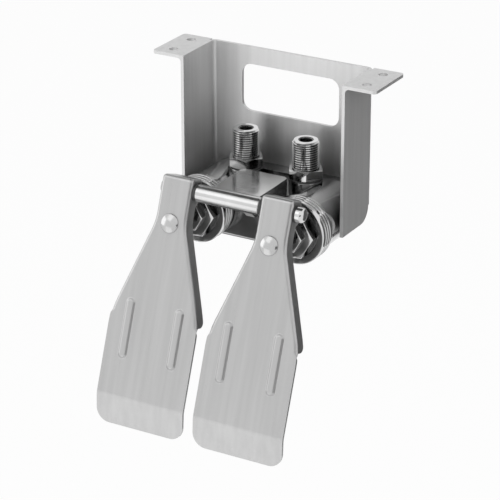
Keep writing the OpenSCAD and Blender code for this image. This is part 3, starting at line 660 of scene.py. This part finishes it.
# %% Pedal: holes and ribs
ALONG_X = (0, math.radians(90), 0)
ALONG_Y = (math.radians(-90), 0, 0)
RIB_X, RIB_TOP, RIB_LENGTH, RIB_R = 21.4 * MM, -91 * MM, 39 * MM, 4.3 * MM
RIB_STEPS = [(0.35, 0.05), (0.4, 0.2), (0.45, 0.4), (0.5, 0.36), (0.6, 0.21), (0.7, 0.08)]
RIB_ROOT, RIB_SIDES = 0.3 * MM, 40
BUSH_HOLE, SCREW_HOLE, SCREW_Z = 6.05, 4.3, -26 * MM


def rod(radius, length, where=(0, 0, 0), turn=(0, 0, 0), sides=64):
    """A plain round bar, with its radius and length in millimetres."""
    start()
    bpy.ops.mesh.primitive_cylinder_add(vertices=sides, radius=radius * MM, depth=length * MM)
    tool = called("rod")
    place(tool, where, turn)
    return tool


def drill(obj, *bar, **more):
    """Cut a round hole: the bar that the rest describes is taken out of the object."""
    cut(obj, rod(*bar, **more))


def pressed_rib(x):
    """One rib, which is rooted in the sheet."""
    middle = RIB_TOP - RIB_LENGTH / 2
    start()
    bpy.ops.mesh.primitive_circle_add(vertices=RIB_SIDES, radius=RIB_R, fill_type="NGON")
    rib = called("rib")
    place(rib, turn=(0, 0, math.radians(180 / RIB_SIDES)))
    place(rib, (x, FACE + RIB_ROOT, middle), (math.radians(90), 0, 0))
    edit(rib)
    for way in (1, -1):
        pick(rib, "VERT", lambda p: (p.z - middle) * way > 0)
        bpy.ops.transform.translate(value=(0, 0, way * RIB_LENGTH / 2))
    pick(rib, "FACE", lambda p: True)
    extrude(0, -RIB_ROOT, 0)
    for inward, up in RIB_STEPS:
        bpy.ops.mesh.inset(thickness=inward * MM, depth=up * MM)
    pick(rib, "EDGE", lambda p: near(p.y, FACE + RIB_ROOT))
    bpy.ops.mesh.edge_face_add()
    bpy.ops.mesh.select_all(action="SELECT")
    bpy.ops.mesh.normals_make_consistent(inside=False)
    start()
    return rib


drill(pedal, BUSH_HOLE, 40, turn=ALONG_X)
ribs = [pressed_rib(-RIB_X), pressed_rib(RIB_X)]
for rib in ribs:
    hollow = twin(rib, "hollow")
    place(hollow, (0, SHEET + 0.01 * MM, 0))
    cut(pedal, hollow)
soften(pedal, 0.3 * MM, 2, 50)
drill(pedal, SCREW_HOLE, 12, (0, FACE, SCREW_Z), ALONG_Y)
only(pedal)
for rib in ribs:
    rib.select_set(True)
bpy.ops.object.join()
print("pedal faces:", len(pedal.data.polygons))

# %% [markdown]
# The finished pedal is turned to its lean and moved to the hinge pin. The right pedal
# is a copy with its own mesh, set the distance between the two units further along.

# %% Pedals in place
HINGE_Y, HINGE_Z = -69.975 * MM, -87 * MM
UNIT_X = 42.5 * MM
place(pedal, (-UNIT_X, HINGE_Y, HINGE_Z), (LEAN, 0, 0))
right_pedal = twin(pedal, "right_pedal_sheet")
place(right_pedal, (2 * UNIT_X, 0, 0))
settle(pedal, "left_pedal_lever", "pedal_steel", "left_pedal")
settle(right_pedal, "right_pedal_lever", "pedal_steel", "right_pedal")

# %% [markdown]
# The bracket is a channel of thicker sheet, open to the front, with a flange on each
# side that screws to the face above. A box without front, top and bottom is the
# channel. Its upright back edges are bevelled into bends and it gets its wall. A cut
# near the top leaves a strip on each cheek, and the strips are extruded outwards.

# %% Bracket: channel and flanges
WIDE, DEEP, TALL = 140 * MM, 47 * MM, 120 * MM
PLATE, FOLD_R, WING = 2.5 * MM, 3 * MM, 25 * MM
FOLD_SPAN = 15 * MM

start()
bpy.ops.mesh.primitive_cube_add(size=1)
channel = called("bracket_sheet")
channel.scale = (WIDE, DEEP, TALL)
place(channel, (0, 0, -TALL / 2))
edit(channel)
pick(channel, "FACE", lambda p: near(p.y, -DEEP / 2) or near(p.z, 0) or near(p.z, -TALL))
bpy.ops.mesh.delete(type="FACE")
pick(channel, "EDGE", lambda p: near(abs(p.x), WIDE / 2) and near(p.y, DEEP / 2))
bpy.ops.mesh.bevel(offset=FOLD_R + PLATE, segments=7, affect="EDGES")
modify(channel, "SOLIDIFY", thickness=PLATE, offset=-1, use_even_offset=True)
edit(channel)
bpy.ops.mesh.select_all(action="SELECT")
bpy.ops.mesh.bisect(plane_co=(0, 0, -PLATE), plane_no=(0, 0, 1))
for side in (-1, 1):
    pick(channel, "FACE", lambda p: near(p.x, side * WIDE / 2) and p.z > -PLATE)
    extrude(side * WING, 0, 0)
    back = DEEP / 2 - FOLD_R - PLATE
    pick(channel, "FACE", lambda p: p.x * side > WIDE / 2 + MM and near(p.y, back))
    extrude(0, DEEP / 2 - back, 0)
pick(channel, "EDGE", lambda p: near(abs(p.x), WIDE / 2 + WING) and near(abs(p.y), DEEP / 2))
bpy.ops.mesh.bevel(offset=FOLD_R, segments=5, affect="EDGES")
pick(channel, "EDGE", lambda p: near(abs(p.x), WIDE / 2) and near(p.z, -PLATE)
     and abs(p.y) < FOLD_SPAN)
bpy.ops.mesh.bevel(offset=FOLD_R, segments=5, affect="EDGES", clamp_overlap=False)
start()
print("channel faces:", len(channel.data.polygons))

# %% [markdown]
# The web behind has a window for the supply hoses, and holes for the outlet and two
# bolts. The flanges have four screw holes. At the lower back corners, the sheet is cut
# round so that the bend can be made. They could be drawn into the sheet before it gets
# its wall, but a solid tool that is cut out keeps each hole round and straight.

# %% Bracket: window, holes and corners
OUTLET_Z = -104.97 * MM
CORNER, BEND_SIDE, BEHIND = 12, 5.5, 30
CHEEK_X, CHEEK_SIDE, WEB_X, WEB_FRONT, WEB_Y = 72.5, 8, 66, 19, 24
WINDOW_LOW, WINDOW_HIGH, WINDOW_R = (-42, 15, -52), (42, 30, -14), 8
FLANGE_HOLE, FLANGE_X, FLANGE_Y = 3.5, 82.5, 13
BOLT_HOLE, OUTLET_HOLE = 3.3, 10.75


def block(low, high):
    """A box between two corners, in millimetres."""
    start()
    bpy.ops.mesh.primitive_cube_add(size=1)
    tool = called("block")
    tool.scale = [(b - a) * MM for a, b in zip(low, high)]
    place(tool, [(a + b) / 2 * MM for a, b in zip(low, high)])
    return tool


def corner_tool(side):
    """What the press takes off one lower corner: the bend's end and two rounds."""
    turn_y = DEEP / 2 / MM - BEND_SIDE - CORNER
    turn_x = WIDE / 2 / MM - BEND_SIDE - CORNER
    low_z, turn_z = -TALL / MM - 1, -TALL / MM + CORNER
    x = side * CHEEK_X
    cheek = block((x - CHEEK_SIDE, turn_y, low_z), (x + CHEEK_SIDE, BEHIND, turn_z))
    drill(cheek, CORNER, 30, (x * MM, turn_y * MM, turn_z * MM), ALONG_X)
    inner, outer = sorted((side * turn_x, side * WEB_X))
    web = block((inner, WEB_FRONT, low_z), (outer, BEHIND, turn_z))
    drill(web, CORNER, 30, (side * turn_x * MM, WEB_Y * MM, turn_z * MM), ALONG_Y)
    return cheek, web


window = block(WINDOW_LOW, WINDOW_HIGH)
edit(window)
pick(window, "EDGE", lambda p: near(p.y, (WINDOW_LOW[1] + WINDOW_HIGH[1]) / 2 * MM))
bpy.ops.mesh.bevel(offset=WINDOW_R * MM, segments=8, affect="EDGES")
cut(channel, window)
for side in (-1, 1):
    for end in (-1, 1):
        hole = (side * FLANGE_X * MM, end * FLANGE_Y * MM, 0)
        drill(channel, FLANGE_HOLE, 10, hole, sides=48)
    drill(channel, BOLT_HOLE, 10, (side * UNIT_X, 22 * MM, OUTLET_Z), ALONG_Y, 32)
    for tool in corner_tool(side):
        cut(channel, tool)
drill(channel, OUTLET_HOLE, 10, (0, 22 * MM, OUTLET_Z), ALONG_Y)
soften(channel, 0.35 * MM, 2, 50)
settle(channel, "valve", "bracket_steel", "mounting_bracket")

# %% [markdown]
# Most of the other pieces are turned on a lathe. Half of the outline is drawn by
# extruding one point from corner to corner, and the spin operator takes it round the
# axis. That gives every step, groove and chamfer in one go. A hexagon is a six-sided
# bar, and what it shares with a turned blank is a nut with round chamfers.

# %% Turned and six-sided pieces
MERGE = 0.002 * MM


def drawn(name, points):
    """Draw a line through points of (radius, height) in millimetres."""
    start()
    bpy.ops.mesh.primitive_plane_add(size=MM)
    line = called(name)
    edit(line)
    bpy.ops.mesh.select_mode(type="VERT")
    bpy.ops.mesh.select_all(action="SELECT")
    bpy.ops.mesh.merge(type="CENTER")
    bpy.ops.transform.translate(value=(points[0][0] * MM, 0, points[0][1] * MM))
    for (r0, z0), (r1, z1) in zip(points, points[1:]):
        extrude((r1 - r0) * MM, 0, (z1 - z0) * MM)
    bpy.ops.mesh.select_all(action="SELECT")
    return line


def join_points():
    """In edit mode, merge points that lie together and turn all faces outwards."""
    bpy.ops.mesh.select_all(action="SELECT")
    bpy.ops.mesh.remove_doubles(threshold=MERGE)
    bpy.ops.mesh.normals_make_consistent(inside=False)
    start()


def turned(name, outline, steps=72):
    """Spin half an outline round Z. An outline off the axis is closed into a ring."""
    closed = [] if outline[0][0] == 0 else [outline[0]]
    piece = drawn(name, outline + closed)
    bpy.ops.mesh.remove_doubles(threshold=MERGE)
    bpy.ops.mesh.spin(steps=steps, angle=math.tau, center=(0, 0, 0), axis=(0, 0, 1))
    join_points()
    return piece


def six_sided(name, flats, low, high, front=True, back=True):
    """A solid hexagon along Z, in millimetres, with round chamfers at its ends."""
    corner, rim = flats / math.sqrt(3), flats * 0.48
    wide, slope = corner + 0.2, (corner - rim) * 0.5
    start()
    depth = (high - low) * MM
    bpy.ops.mesh.primitive_cylinder_add(vertices=6, radius=corner * MM, depth=depth)
    hexagon = called(name)
    place(hexagon, (0, 0, (low + high) / 2 * MM), (0, 0, math.radians(30)))
    outline = [(rim, low), (wide, low + slope)] if front else [(wide, low - 0.2)]
    outline += [(wide, high - slope), (rim, high)] if back else [(wide, high + 0.2)]
    blank = turned("blank", [(0, outline[0][1])] + outline + [(0, outline[-1][1])])
    cut(hexagon, blank, "INTERSECT")
    return hexagon


def fuse(obj, *others):
    """Make one solid of several."""
    for other in others:
        cut(obj, other, "UNION")
    return obj


def sided(piece, name, body, slot, node, x=UNIT_X, finish=None):
    """Settle a copy of a piece at this distance on each side, and delete the piece."""
    copies = []
    for word, way in (("left", -1), ("right", 1)):
        copy = twin(piece, word + "_" + name)
        place(copy, (way * x, 0, 0))
        settle(copy, body.format(word), slot, word + "_" + node, finish=finish)
        copies.append(copy)
    bpy.data.objects.remove(piece)
    return copies


print("lathe ready")

# %% [markdown]
# A thread is one tooth of its outline, carried up the axis by the Screw modifier and
# closed at both ends. It is made too long, and what it shares with a turned blank is a
# thread with clean chamfered ends.

# %% Threads
def threaded(name, radius, pitch, low, high, blank):
    """A thread along Z from low to high, in millimetres, cut to a turned blank."""
    root = radius - 0.6 * pitch
    tooth = [(root, 0), (root, 0.15), (radius, 0.45), (radius, 0.7), (root, 1)]
    piece = drawn(name, [(r, share * pitch) for r, share in tooth])
    turns = math.ceil((high - low) / pitch) + 3
    modify(piece, "SCREW", axis="Z", screw_offset=pitch * MM, iterations=turns, steps=36,
           render_steps=36, use_merge_vertices=True, merge_threshold=MERGE)
    edit(piece)
    bpy.ops.mesh.select_all(action="SELECT")
    bpy.ops.mesh.remove_doubles(threshold=MERGE)
    bpy.ops.mesh.select_all(action="DESELECT")
    bpy.ops.mesh.select_non_manifold(extend=False)
    bpy.ops.mesh.fill_holes(sides=0)
    join_points()
    place(piece, (0, 0, (low - 1.5 * pitch) * MM))
    cut(piece, blank, "INTERSECT")
    return piece


print("thread tool ready")

# %% [markdown]
# The ring nut holds the bonnet on the valve chamber. It is a turned ring with a lip in
# front, three grooves for grip and four round holes for a hook spanner. A cut goes wrong
# easily where a corner of the tool lies right on an edge, so the ring and the tools are
# each turned a little about their own axes first.

# %% Ring nuts
STEM_Z = -111.671 * MM
RING_R, RING_FRONT, RING_BACK = 25.5, -50.0, -35.0
GROOVES = (-45.67, -42.5, -39.33)
HOOK_R, HOOK_Y, HOOK_AT = 1.6, -44.1, 26.5
RING_TURN, HOOK_TURN = math.radians(1.3), math.radians(5)


def groove(middle, depth=0.9, steps=6):
    """Points of a round groove in the ring's outside."""
    turns = [math.pi * i / steps for i in range(steps + 1)]
    return [(RING_R - depth * math.sin(a), middle - depth * math.cos(a)) for a in turns]


outline = [(20, RING_FRONT), (24.2, RING_FRONT), (25.0, -49.7), (RING_R, -48.9)]
for middle in GROOVES:
    outline += groove(middle)
outline += [(RING_R, -36.1), (25.0, -35.3), (24.2, RING_BACK), (22.05, RING_BACK)]
outline += [(22.05, -47.4), (20, -47.4)]
ring = turned("ring", outline, 96)
place(ring, turn=(0, 0, RING_TURN))
place(ring, (0, 0, STEM_Z), ALONG_Y)
for angle in (45, 135, 225, 315):
    turn = math.radians(angle)
    x, z = HOOK_AT * MM * math.cos(turn), STEM_Z + HOOK_AT * MM * math.sin(turn)
    hole = rod(HOOK_R, 6, turn=(0, 0, HOOK_TURN), sides=24)
    place(hole, turn=(0, math.radians(90) - turn, 0))
    place(hole, (x, HOOK_Y * MM, z))
    cut(ring, hole)
sided(ring, "ring", "valve", "chrome", "ring_nut")

# %% [markdown]
# The bonnet closes the chamber and guides the stem. In front of the ring it shows a
# large hexagon for a spanner, and in its middle the smaller hexagon of the gland nut,
# which presses the seal round the stem. Each is a hexagon fused to a turned piece.

# %% Bonnets and gland nuts
STEM_BORE, NOSE_BORE = 4.05, 8

bonnet = fuse(
    six_sided("bonnet", 34, -57, -46.4, back=False),
    turned("flange", [(0, -47.4), (21.6, -47.4), (21.95, -47.05), (21.95, -44), (14.95, -44),
                      (14.95, -37.6), (14.3, -37), (0, -37)]),
)
drill(bonnet, STEM_BORE, 60, (0, 0, -50 * MM))
drill(bonnet, NOSE_BORE, 14, (0, 0, -57 * MM))
place(bonnet, (0, 0, STEM_Z), ALONG_Y)
soften(bonnet, 0.25 * MM, 2, 35)
sided(bonnet, "bonnet_hexagon", "valve", "chrome", "bonnet")

gland = fuse(
    six_sided("gland", 22, -61.5, -57, back=False),
    turned("nose", [(0, -58), (7.95, -58), (7.95, -53.52), (0, -53.52)]),
)
drill(gland, STEM_BORE, 60, (0, 0, -50 * MM))
place(gland, (0, 0, STEM_Z), ALONG_Y)
soften(gland, 0.2 * MM, 2, 35)
sided(gland, "gland_hexagon", "valve", "chrome", "gland_nut")

# %% [markdown]
# The body is one casting: two round chambers, the manifold that joins them, a pad that
# bolts to the bracket, two bosses for the supplies and the web that carries the hinge
# barrel. First come the tools for its parts. Each part has its edges rounded before the
# parts are fused. One bevel on the whole would be shorter, but where round parts meet,
# the edges are too short for it.

# %% Valve body: parts
EDGE = 0.5 * MM


def rounded_block(low, high, radius, along):
    """A box with rounded edges along one axis, and softened ones at its ends."""
    piece = block(low, high)
    edit(piece)
    net = bmesh.from_edit_mesh(piece.data)
    bpy.ops.mesh.select_mode(type="EDGE")
    bpy.ops.mesh.select_all(action="DESELECT")
    for side in net.edges:
        run = side.verts[1].co - side.verts[0].co
        side.select_set(abs(run[along]) > run.length * 0.99)
    bmesh.update_edit_mesh(piece.data)
    bpy.ops.mesh.bevel(offset=radius * MM, segments=5, affect="EDGES")
    soften(piece, EDGE)
    return piece


def chamber(x):
    """One valve chamber, with the neck that the ring nut screws on."""
    piece = turned("chamber", [(0, -43), (21.3, -43), (22, -42.3), (22, -34.8), (23, -34),
                               (23, 8.6), (22.1, 10.9), (19.8, 12), (0, 12)])
    place(piece, (x, 0, STEM_Z), ALONG_Y)
    return piece


def gusset():
    """The rib under the hinge web: a block that is cut off along its slope."""
    front, top, back, foot = -63.2, -87.6, -33, -111.6
    piece = block((-4, front, foot), (4, back, top))
    edit(piece)
    bpy.ops.mesh.select_all(action="SELECT")
    bpy.ops.mesh.bisect(plane_co=(0, front * MM, top * MM), use_fill=True, clear_outer=True,
                        plane_no=(0, foot - top, front - back))
    soften(piece, EDGE)
    return piece


print("parts of the casting ready")

# %% [markdown]
# Now the parts are fused one after the other. The manifold ends inside the chambers and
# the hinge web inside the upright block behind it, so that no two faces have to meet
# exactly there.

# %% Valve body: the casting
stem_mm, outlet_mm = STEM_Z / MM, OUTLET_Z / MM
MANIFOLD_DROP, MANIFOLD_RISE = 22.5, 17
BARREL_R, BARREL_HALF, BARREL_EDGE, WEB_T = 6.8, 27.01, 0.6, 8
SUPPLY_X, SUPPLY_Y = 26, -1
web_top = HINGE_Z / MM + BARREL_R / 2
body = rounded_block((-40, -34, stem_mm - MANIFOLD_DROP), (40, 12, stem_mm + MANIFOLD_RISE), 3, 0)
body.name = body.data.name = "valve_casting"
fuse(body, chamber(-UNIT_X), chamber(UNIT_X))
fuse(body, rounded_block((-55, 8, outlet_mm - 13.5), (55, 21, outlet_mm + 13.5), 5, 1))
for x in (-SUPPLY_X, SUPPLY_X):
    boss = turned("boss", [(0, stem_mm), (13, stem_mm), (13, -89), (12.7, -88.3), (12, -88),
                           (0, -88)])
    place(boss, (x * MM, SUPPLY_Y * MM, 0))
    fuse(body, boss)
fuse(body, rounded_block((-20, -34, stem_mm), (20, -16.43, web_top), 4, 2))
fuse(body, rounded_block((-20, -69.97, web_top - WEB_T), (20, -30, web_top), 2, 0), gusset())
rim = BARREL_R - BARREL_EDGE
barrel = turned("barrel", [(0, -BARREL_HALF), (rim, -BARREL_HALF),
                           (BARREL_R, BARREL_EDGE - BARREL_HALF),
                           (BARREL_R, BARREL_HALF - BARREL_EDGE),
                           (rim, BARREL_HALF), (0, BARREL_HALF)])
place(barrel, (0, HINGE_Y, HINGE_Z), ALONG_X)
fuse(body, barrel)
print("cast body faces:", len(body.data.polygons))

# %% [markdown]
# The bores come last, so that the moving parts inside stay free: the pin through the
# barrel, the stepped bores of the two valves, the supplies from above, the passage that
# mixes both and the outlet behind. Each is a round bar that is cut out, as a drill would.

# %% Valve body: bores
PIN_BORE, CHAMBER_BORE, VALVE_BORE, BOLT_BORE = 4.05, 15, 14, 3.05
WATER_R, SPIGOT_BORE, MIX_BORE, OUTLET_BORE = 6, 9.45, 5, 10.5

drill(body, PIN_BORE, 80, (0, HINGE_Y, HINGE_Z), ALONG_X)
for way in (-1, 1):
    x = way * UNIT_X
    supply_x, supply_y = way * SUPPLY_X * MM, SUPPLY_Y * MM
    drill(body, CHAMBER_BORE, 28, (x, -30 * MM, STEM_Z), ALONG_Y)
    drill(body, VALVE_BORE, 25, (x, -4.5 * MM, STEM_Z), ALONG_Y)
    drill(body, WATER_R, 40, (supply_x, supply_y, STEM_Z + 14 * MM))
    drill(body, SPIGOT_BORE, 20, (supply_x, supply_y, -87.12 * MM))
    drill(body, BOLT_BORE, 20, (x, 21.88 * MM, OUTLET_Z), ALONG_Y)
drill(body, MIX_BORE, 85, (0, -26.5 * MM, OUTLET_Z), ALONG_X)
drill(body, WATER_R, 48.5, (0, -2.25 * MM, OUTLET_Z), ALONG_Y)
drill(body, OUTLET_BORE, 20, (0, 21.88 * MM, OUTLET_Z), ALONG_Y)
settle(body, "valve", "chrome", "valve_body", finish=cast_chrome)

# %% [markdown]
# The supplies screw on from above. Each connection is a threaded shank: a thread, a
# hexagon for a spanner and a plain end that goes into the body. They are made one by one
# and fused, and the way for the water is cut through all of them.

# %% Inlet shanks
PIPE_R, PIPE_PITCH = 10.45, 1.814
inlet = threaded("inlet", PIPE_R, PIPE_PITCH, -80, -57,
                 turned("blank", [(0, -80), (11, -80), (11, -58.6), (9.2, -57), (0, -57)]))
fuse(inlet, six_sided("hexagon", 25, -87, -79))
fuse(inlet, turned("spigot", [(0, -97), (8.9, -97), (9.4, -96.5), (9.4, -86), (0, -86)]))
drill(inlet, WATER_R, 60, (0, 0, -77 * MM))
place(inlet, (0, SUPPLY_Y * MM, 0))
sided(inlet, "inlet_thread", "valve", "chrome", "inlet_shank", SUPPLY_X * MM)

# %% [markdown]
# The mixed water leaves behind through another shank, with a plain tail for a tube. A
# brass nut holds it in the bracket's web. It is modelled upright, where the lathe works,
# and then laid along Y.

# %% Outlet shank and nut
outlet = threaded("outlet_thread", PIPE_R, PIPE_PITCH, 12, 34.5,
                  turned("blank", [(0, 12), (11, 12), (11, 33), (9.3, 34.5), (0, 34.5)]))
fuse(outlet, turned("tail", [(0, 33), (7.5, 33), (7.5, 54), (7, 54.5), (0, 54.5)]))
drill(outlet, WATER_R, 90, (0, 0, 33 * MM))
place(outlet, (0, 0, OUTLET_Z), ALONG_Y)
settle(outlet, "valve", "chrome", "outlet_shank")

locknut = six_sided("outlet_hexagon", 27, 25, 32)
drill(locknut, PIPE_R + 0.05, 30, (0, 0, 28 * MM))
place(locknut, (0, 0, OUTLET_Z), ALONG_Y)
soften(locknut, 0.2 * MM, 2, 35)
settle(locknut, "valve", "brass", "outlet_locknut")

# %% [markdown]
# Two hexagon bolts hold the body to the bracket's web. One is modelled with its thread,
# and the second is a copy. Both are one piece in the part, so the copy is joined to the
# first.

# %% Bolts
bolt = threaded("body_hexagon_bolts", 3, 1, 12, 22,
                turned("blank", [(0, 12), (2.4, 12), (3.2, 12.8), (3.2, 22), (0, 22)]))
fuse(bolt, turned("shank", [(0, 21), (2.95, 21), (2.95, 25.5), (0, 25.5)]),
     six_sided("hexagon", 10, 24.7, 28.7, front=False))
place(bolt, (-UNIT_X, 0, OUTLET_Z), ALONG_Y)
other = twin(bolt, "bolt")
place(other, (2 * UNIT_X, 0, 0))
only(bolt)
other.select_set(True)
bpy.ops.object.join()
settle(bolt, "valve", "pin_steel", "body_bolts")

# %% [markdown]
# The hinge pin has a low head on its left end and a domed cap nut on its right one. Both
# are drawn as half outlines and spun. The cap's hollow is part of its outline, so that
# nothing has to be cut.

# %% Hinge pin and cap nut
cap = turned("hinge_cap", [(0, 60.36), (4.05, 60.36), (4.05, 56.99), (5.6, 56.99), (6, 57.4),
                           (6, 60.4), (5.88, 61.1), (5.5, 61.9), (4.85, 62.6), (3.9, 63.1),
                           (2.7, 63.4), (1.3, 63.49), (0, 63.49)])
place(cap, (0, HINGE_Y, HINGE_Z), ALONG_X)
settle(cap, "valve", "chrome", "hinge_cap_nut")

pin = turned("headed_pin", [(0, -57.37), (4.7, -57.37), (5.2, -57.2), (5.4, -56.8),
                            (5.4, -55.87), (4, -55.87), (4, 59.7), (3.5, 60.24), (0, 60.24)])
place(pin, (0, HINGE_Y, HINGE_Z), ALONG_X)
settle(pin, "valve", "pin_steel", "hinge_pin")

# %% [markdown]
# On each pedal, an adjusting screw with a domed head pushes the stem, and a lock nut
# holds it. The dome and the screw's round tip are arcs, so their points come from the
# radius. Both pieces lean with the pedal and ride on it.

# %% Adjusting screws and lock nuts
DOME_R, DOME_TOP, NUT_BORE = 15.7, -10.7, 4.05
dome = [(r, DOME_TOP + DOME_R - math.sqrt(DOME_R ** 2 - r * r)) for r in (1.5, 3, 4.5, 5.8, 6.7)]
head = [(0, DOME_TOP)] + dome + [(7.15, -8.95), (7.3, -8.75), (7.3, -8.5), (7.15, -8.3), (0, -8.3)]
tip_turns = [math.radians(degrees) for degrees in range(0, 90, 15)]
tip = [(4.2 * math.cos(a), 0.6 + 4.1 * math.sin(a)) for a in tip_turns]
blank = turned("blank", [(0, -9), (4.2, -9)] + tip + [(0, 4.7)])
screw = threaded("screw", 4, 1.25, -9, 5, blank)
fuse(screw, turned("head", head))
place(screw, (0, 0, SCREW_Z), ALONG_Y)
place(screw, (0, HINGE_Y, HINGE_Z), (LEAN, 0, 0))
sided(screw, "dome_screw", "{}_pedal_lever", "pin_steel", "push_screw", finish=screw_steel)

nut = six_sided("nut", 13, -6.3, -1.3)
drill(nut, NUT_BORE, 20, (0, 0, -4 * MM), sides=48)
place(nut, (0, 0, SCREW_Z), ALONG_Y)
place(nut, (0, HINGE_Y, HINGE_Z), (LEAN, 0, 0))
soften(nut, 0.15 * MM, 2, 35)
sided(nut, "hexagon_nut", "{}_pedal_lever", "pin_steel", "lock_nut")

# %% [markdown]
# A return spring closes each valve. It could be a curve with a round bevel, but a circle
# of wire that the Screw modifier carries round the axis is a mesh at once. When the pedal
# is pressed, the poppet shortens the spring.

# %% Return springs
WIRE_R, COIL_R, COIL_TURNS = 0.6, 6.6, 3.5
low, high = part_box("left_return_spring")
length = high.y - low.y
start()
bpy.ops.mesh.primitive_circle_add(vertices=14, radius=WIRE_R * MM)
spring = called("spring")
place(spring, (COIL_R * MM, 0, 0), (math.radians(90), 0, 0))
coil_steps = int(COIL_TURNS * 40)
modify(spring, "SCREW", axis="Z", screw_offset=length - 2 * WIRE_R * MM, iterations=1,
       angle=COIL_TURNS * math.tau, steps=coil_steps, render_steps=coil_steps)
edit(spring)
bpy.ops.mesh.select_all(action="DESELECT")
bpy.ops.mesh.select_non_manifold(extend=False)
bpy.ops.mesh.fill_holes(sides=0)
join_points()
place(spring, (0, low.y + WIRE_R * MM, STEM_Z), ALONG_Y)
coils = sided(spring, "coil", "valve", "pin_steel", "return_spring")
for coil, word in zip(coils, ("left", "right")):
    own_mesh(coil)

# %% [markdown]
# The pieces that stay as they are in the part's solids get the same finishes: the
# stems, the hinge washers, the bushes, the seals and what is inside the valves. They are
# plain turned shapes, or hidden, so a new mesh would add nothing.

# %% Finishes of the other pieces
SOLID_FINISH = {
    "hinge_washers": nylon, "outlet_washer": pin_steel,
    "body_bolt_washers": pin_steel, "pedal_bush": nylon, "stem": pin_steel, "poppet": brass,
    "seat_washer": rubber, "bonnet_gasket": fibre, "seat_ring": brass, "stem_o_ring": rubber,
    "inlet_gasket": fibre, "inlet_strainer": pin_steel,
}
painted = 0
for name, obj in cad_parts.items():
    finish = SOLID_FINISH.get(name.replace("left_", "").replace("right_", ""))
    if finish:
        obj.data.materials.clear()
        obj.data.materials.append(finish)
        painted += 1
print("solids painted:", painted)
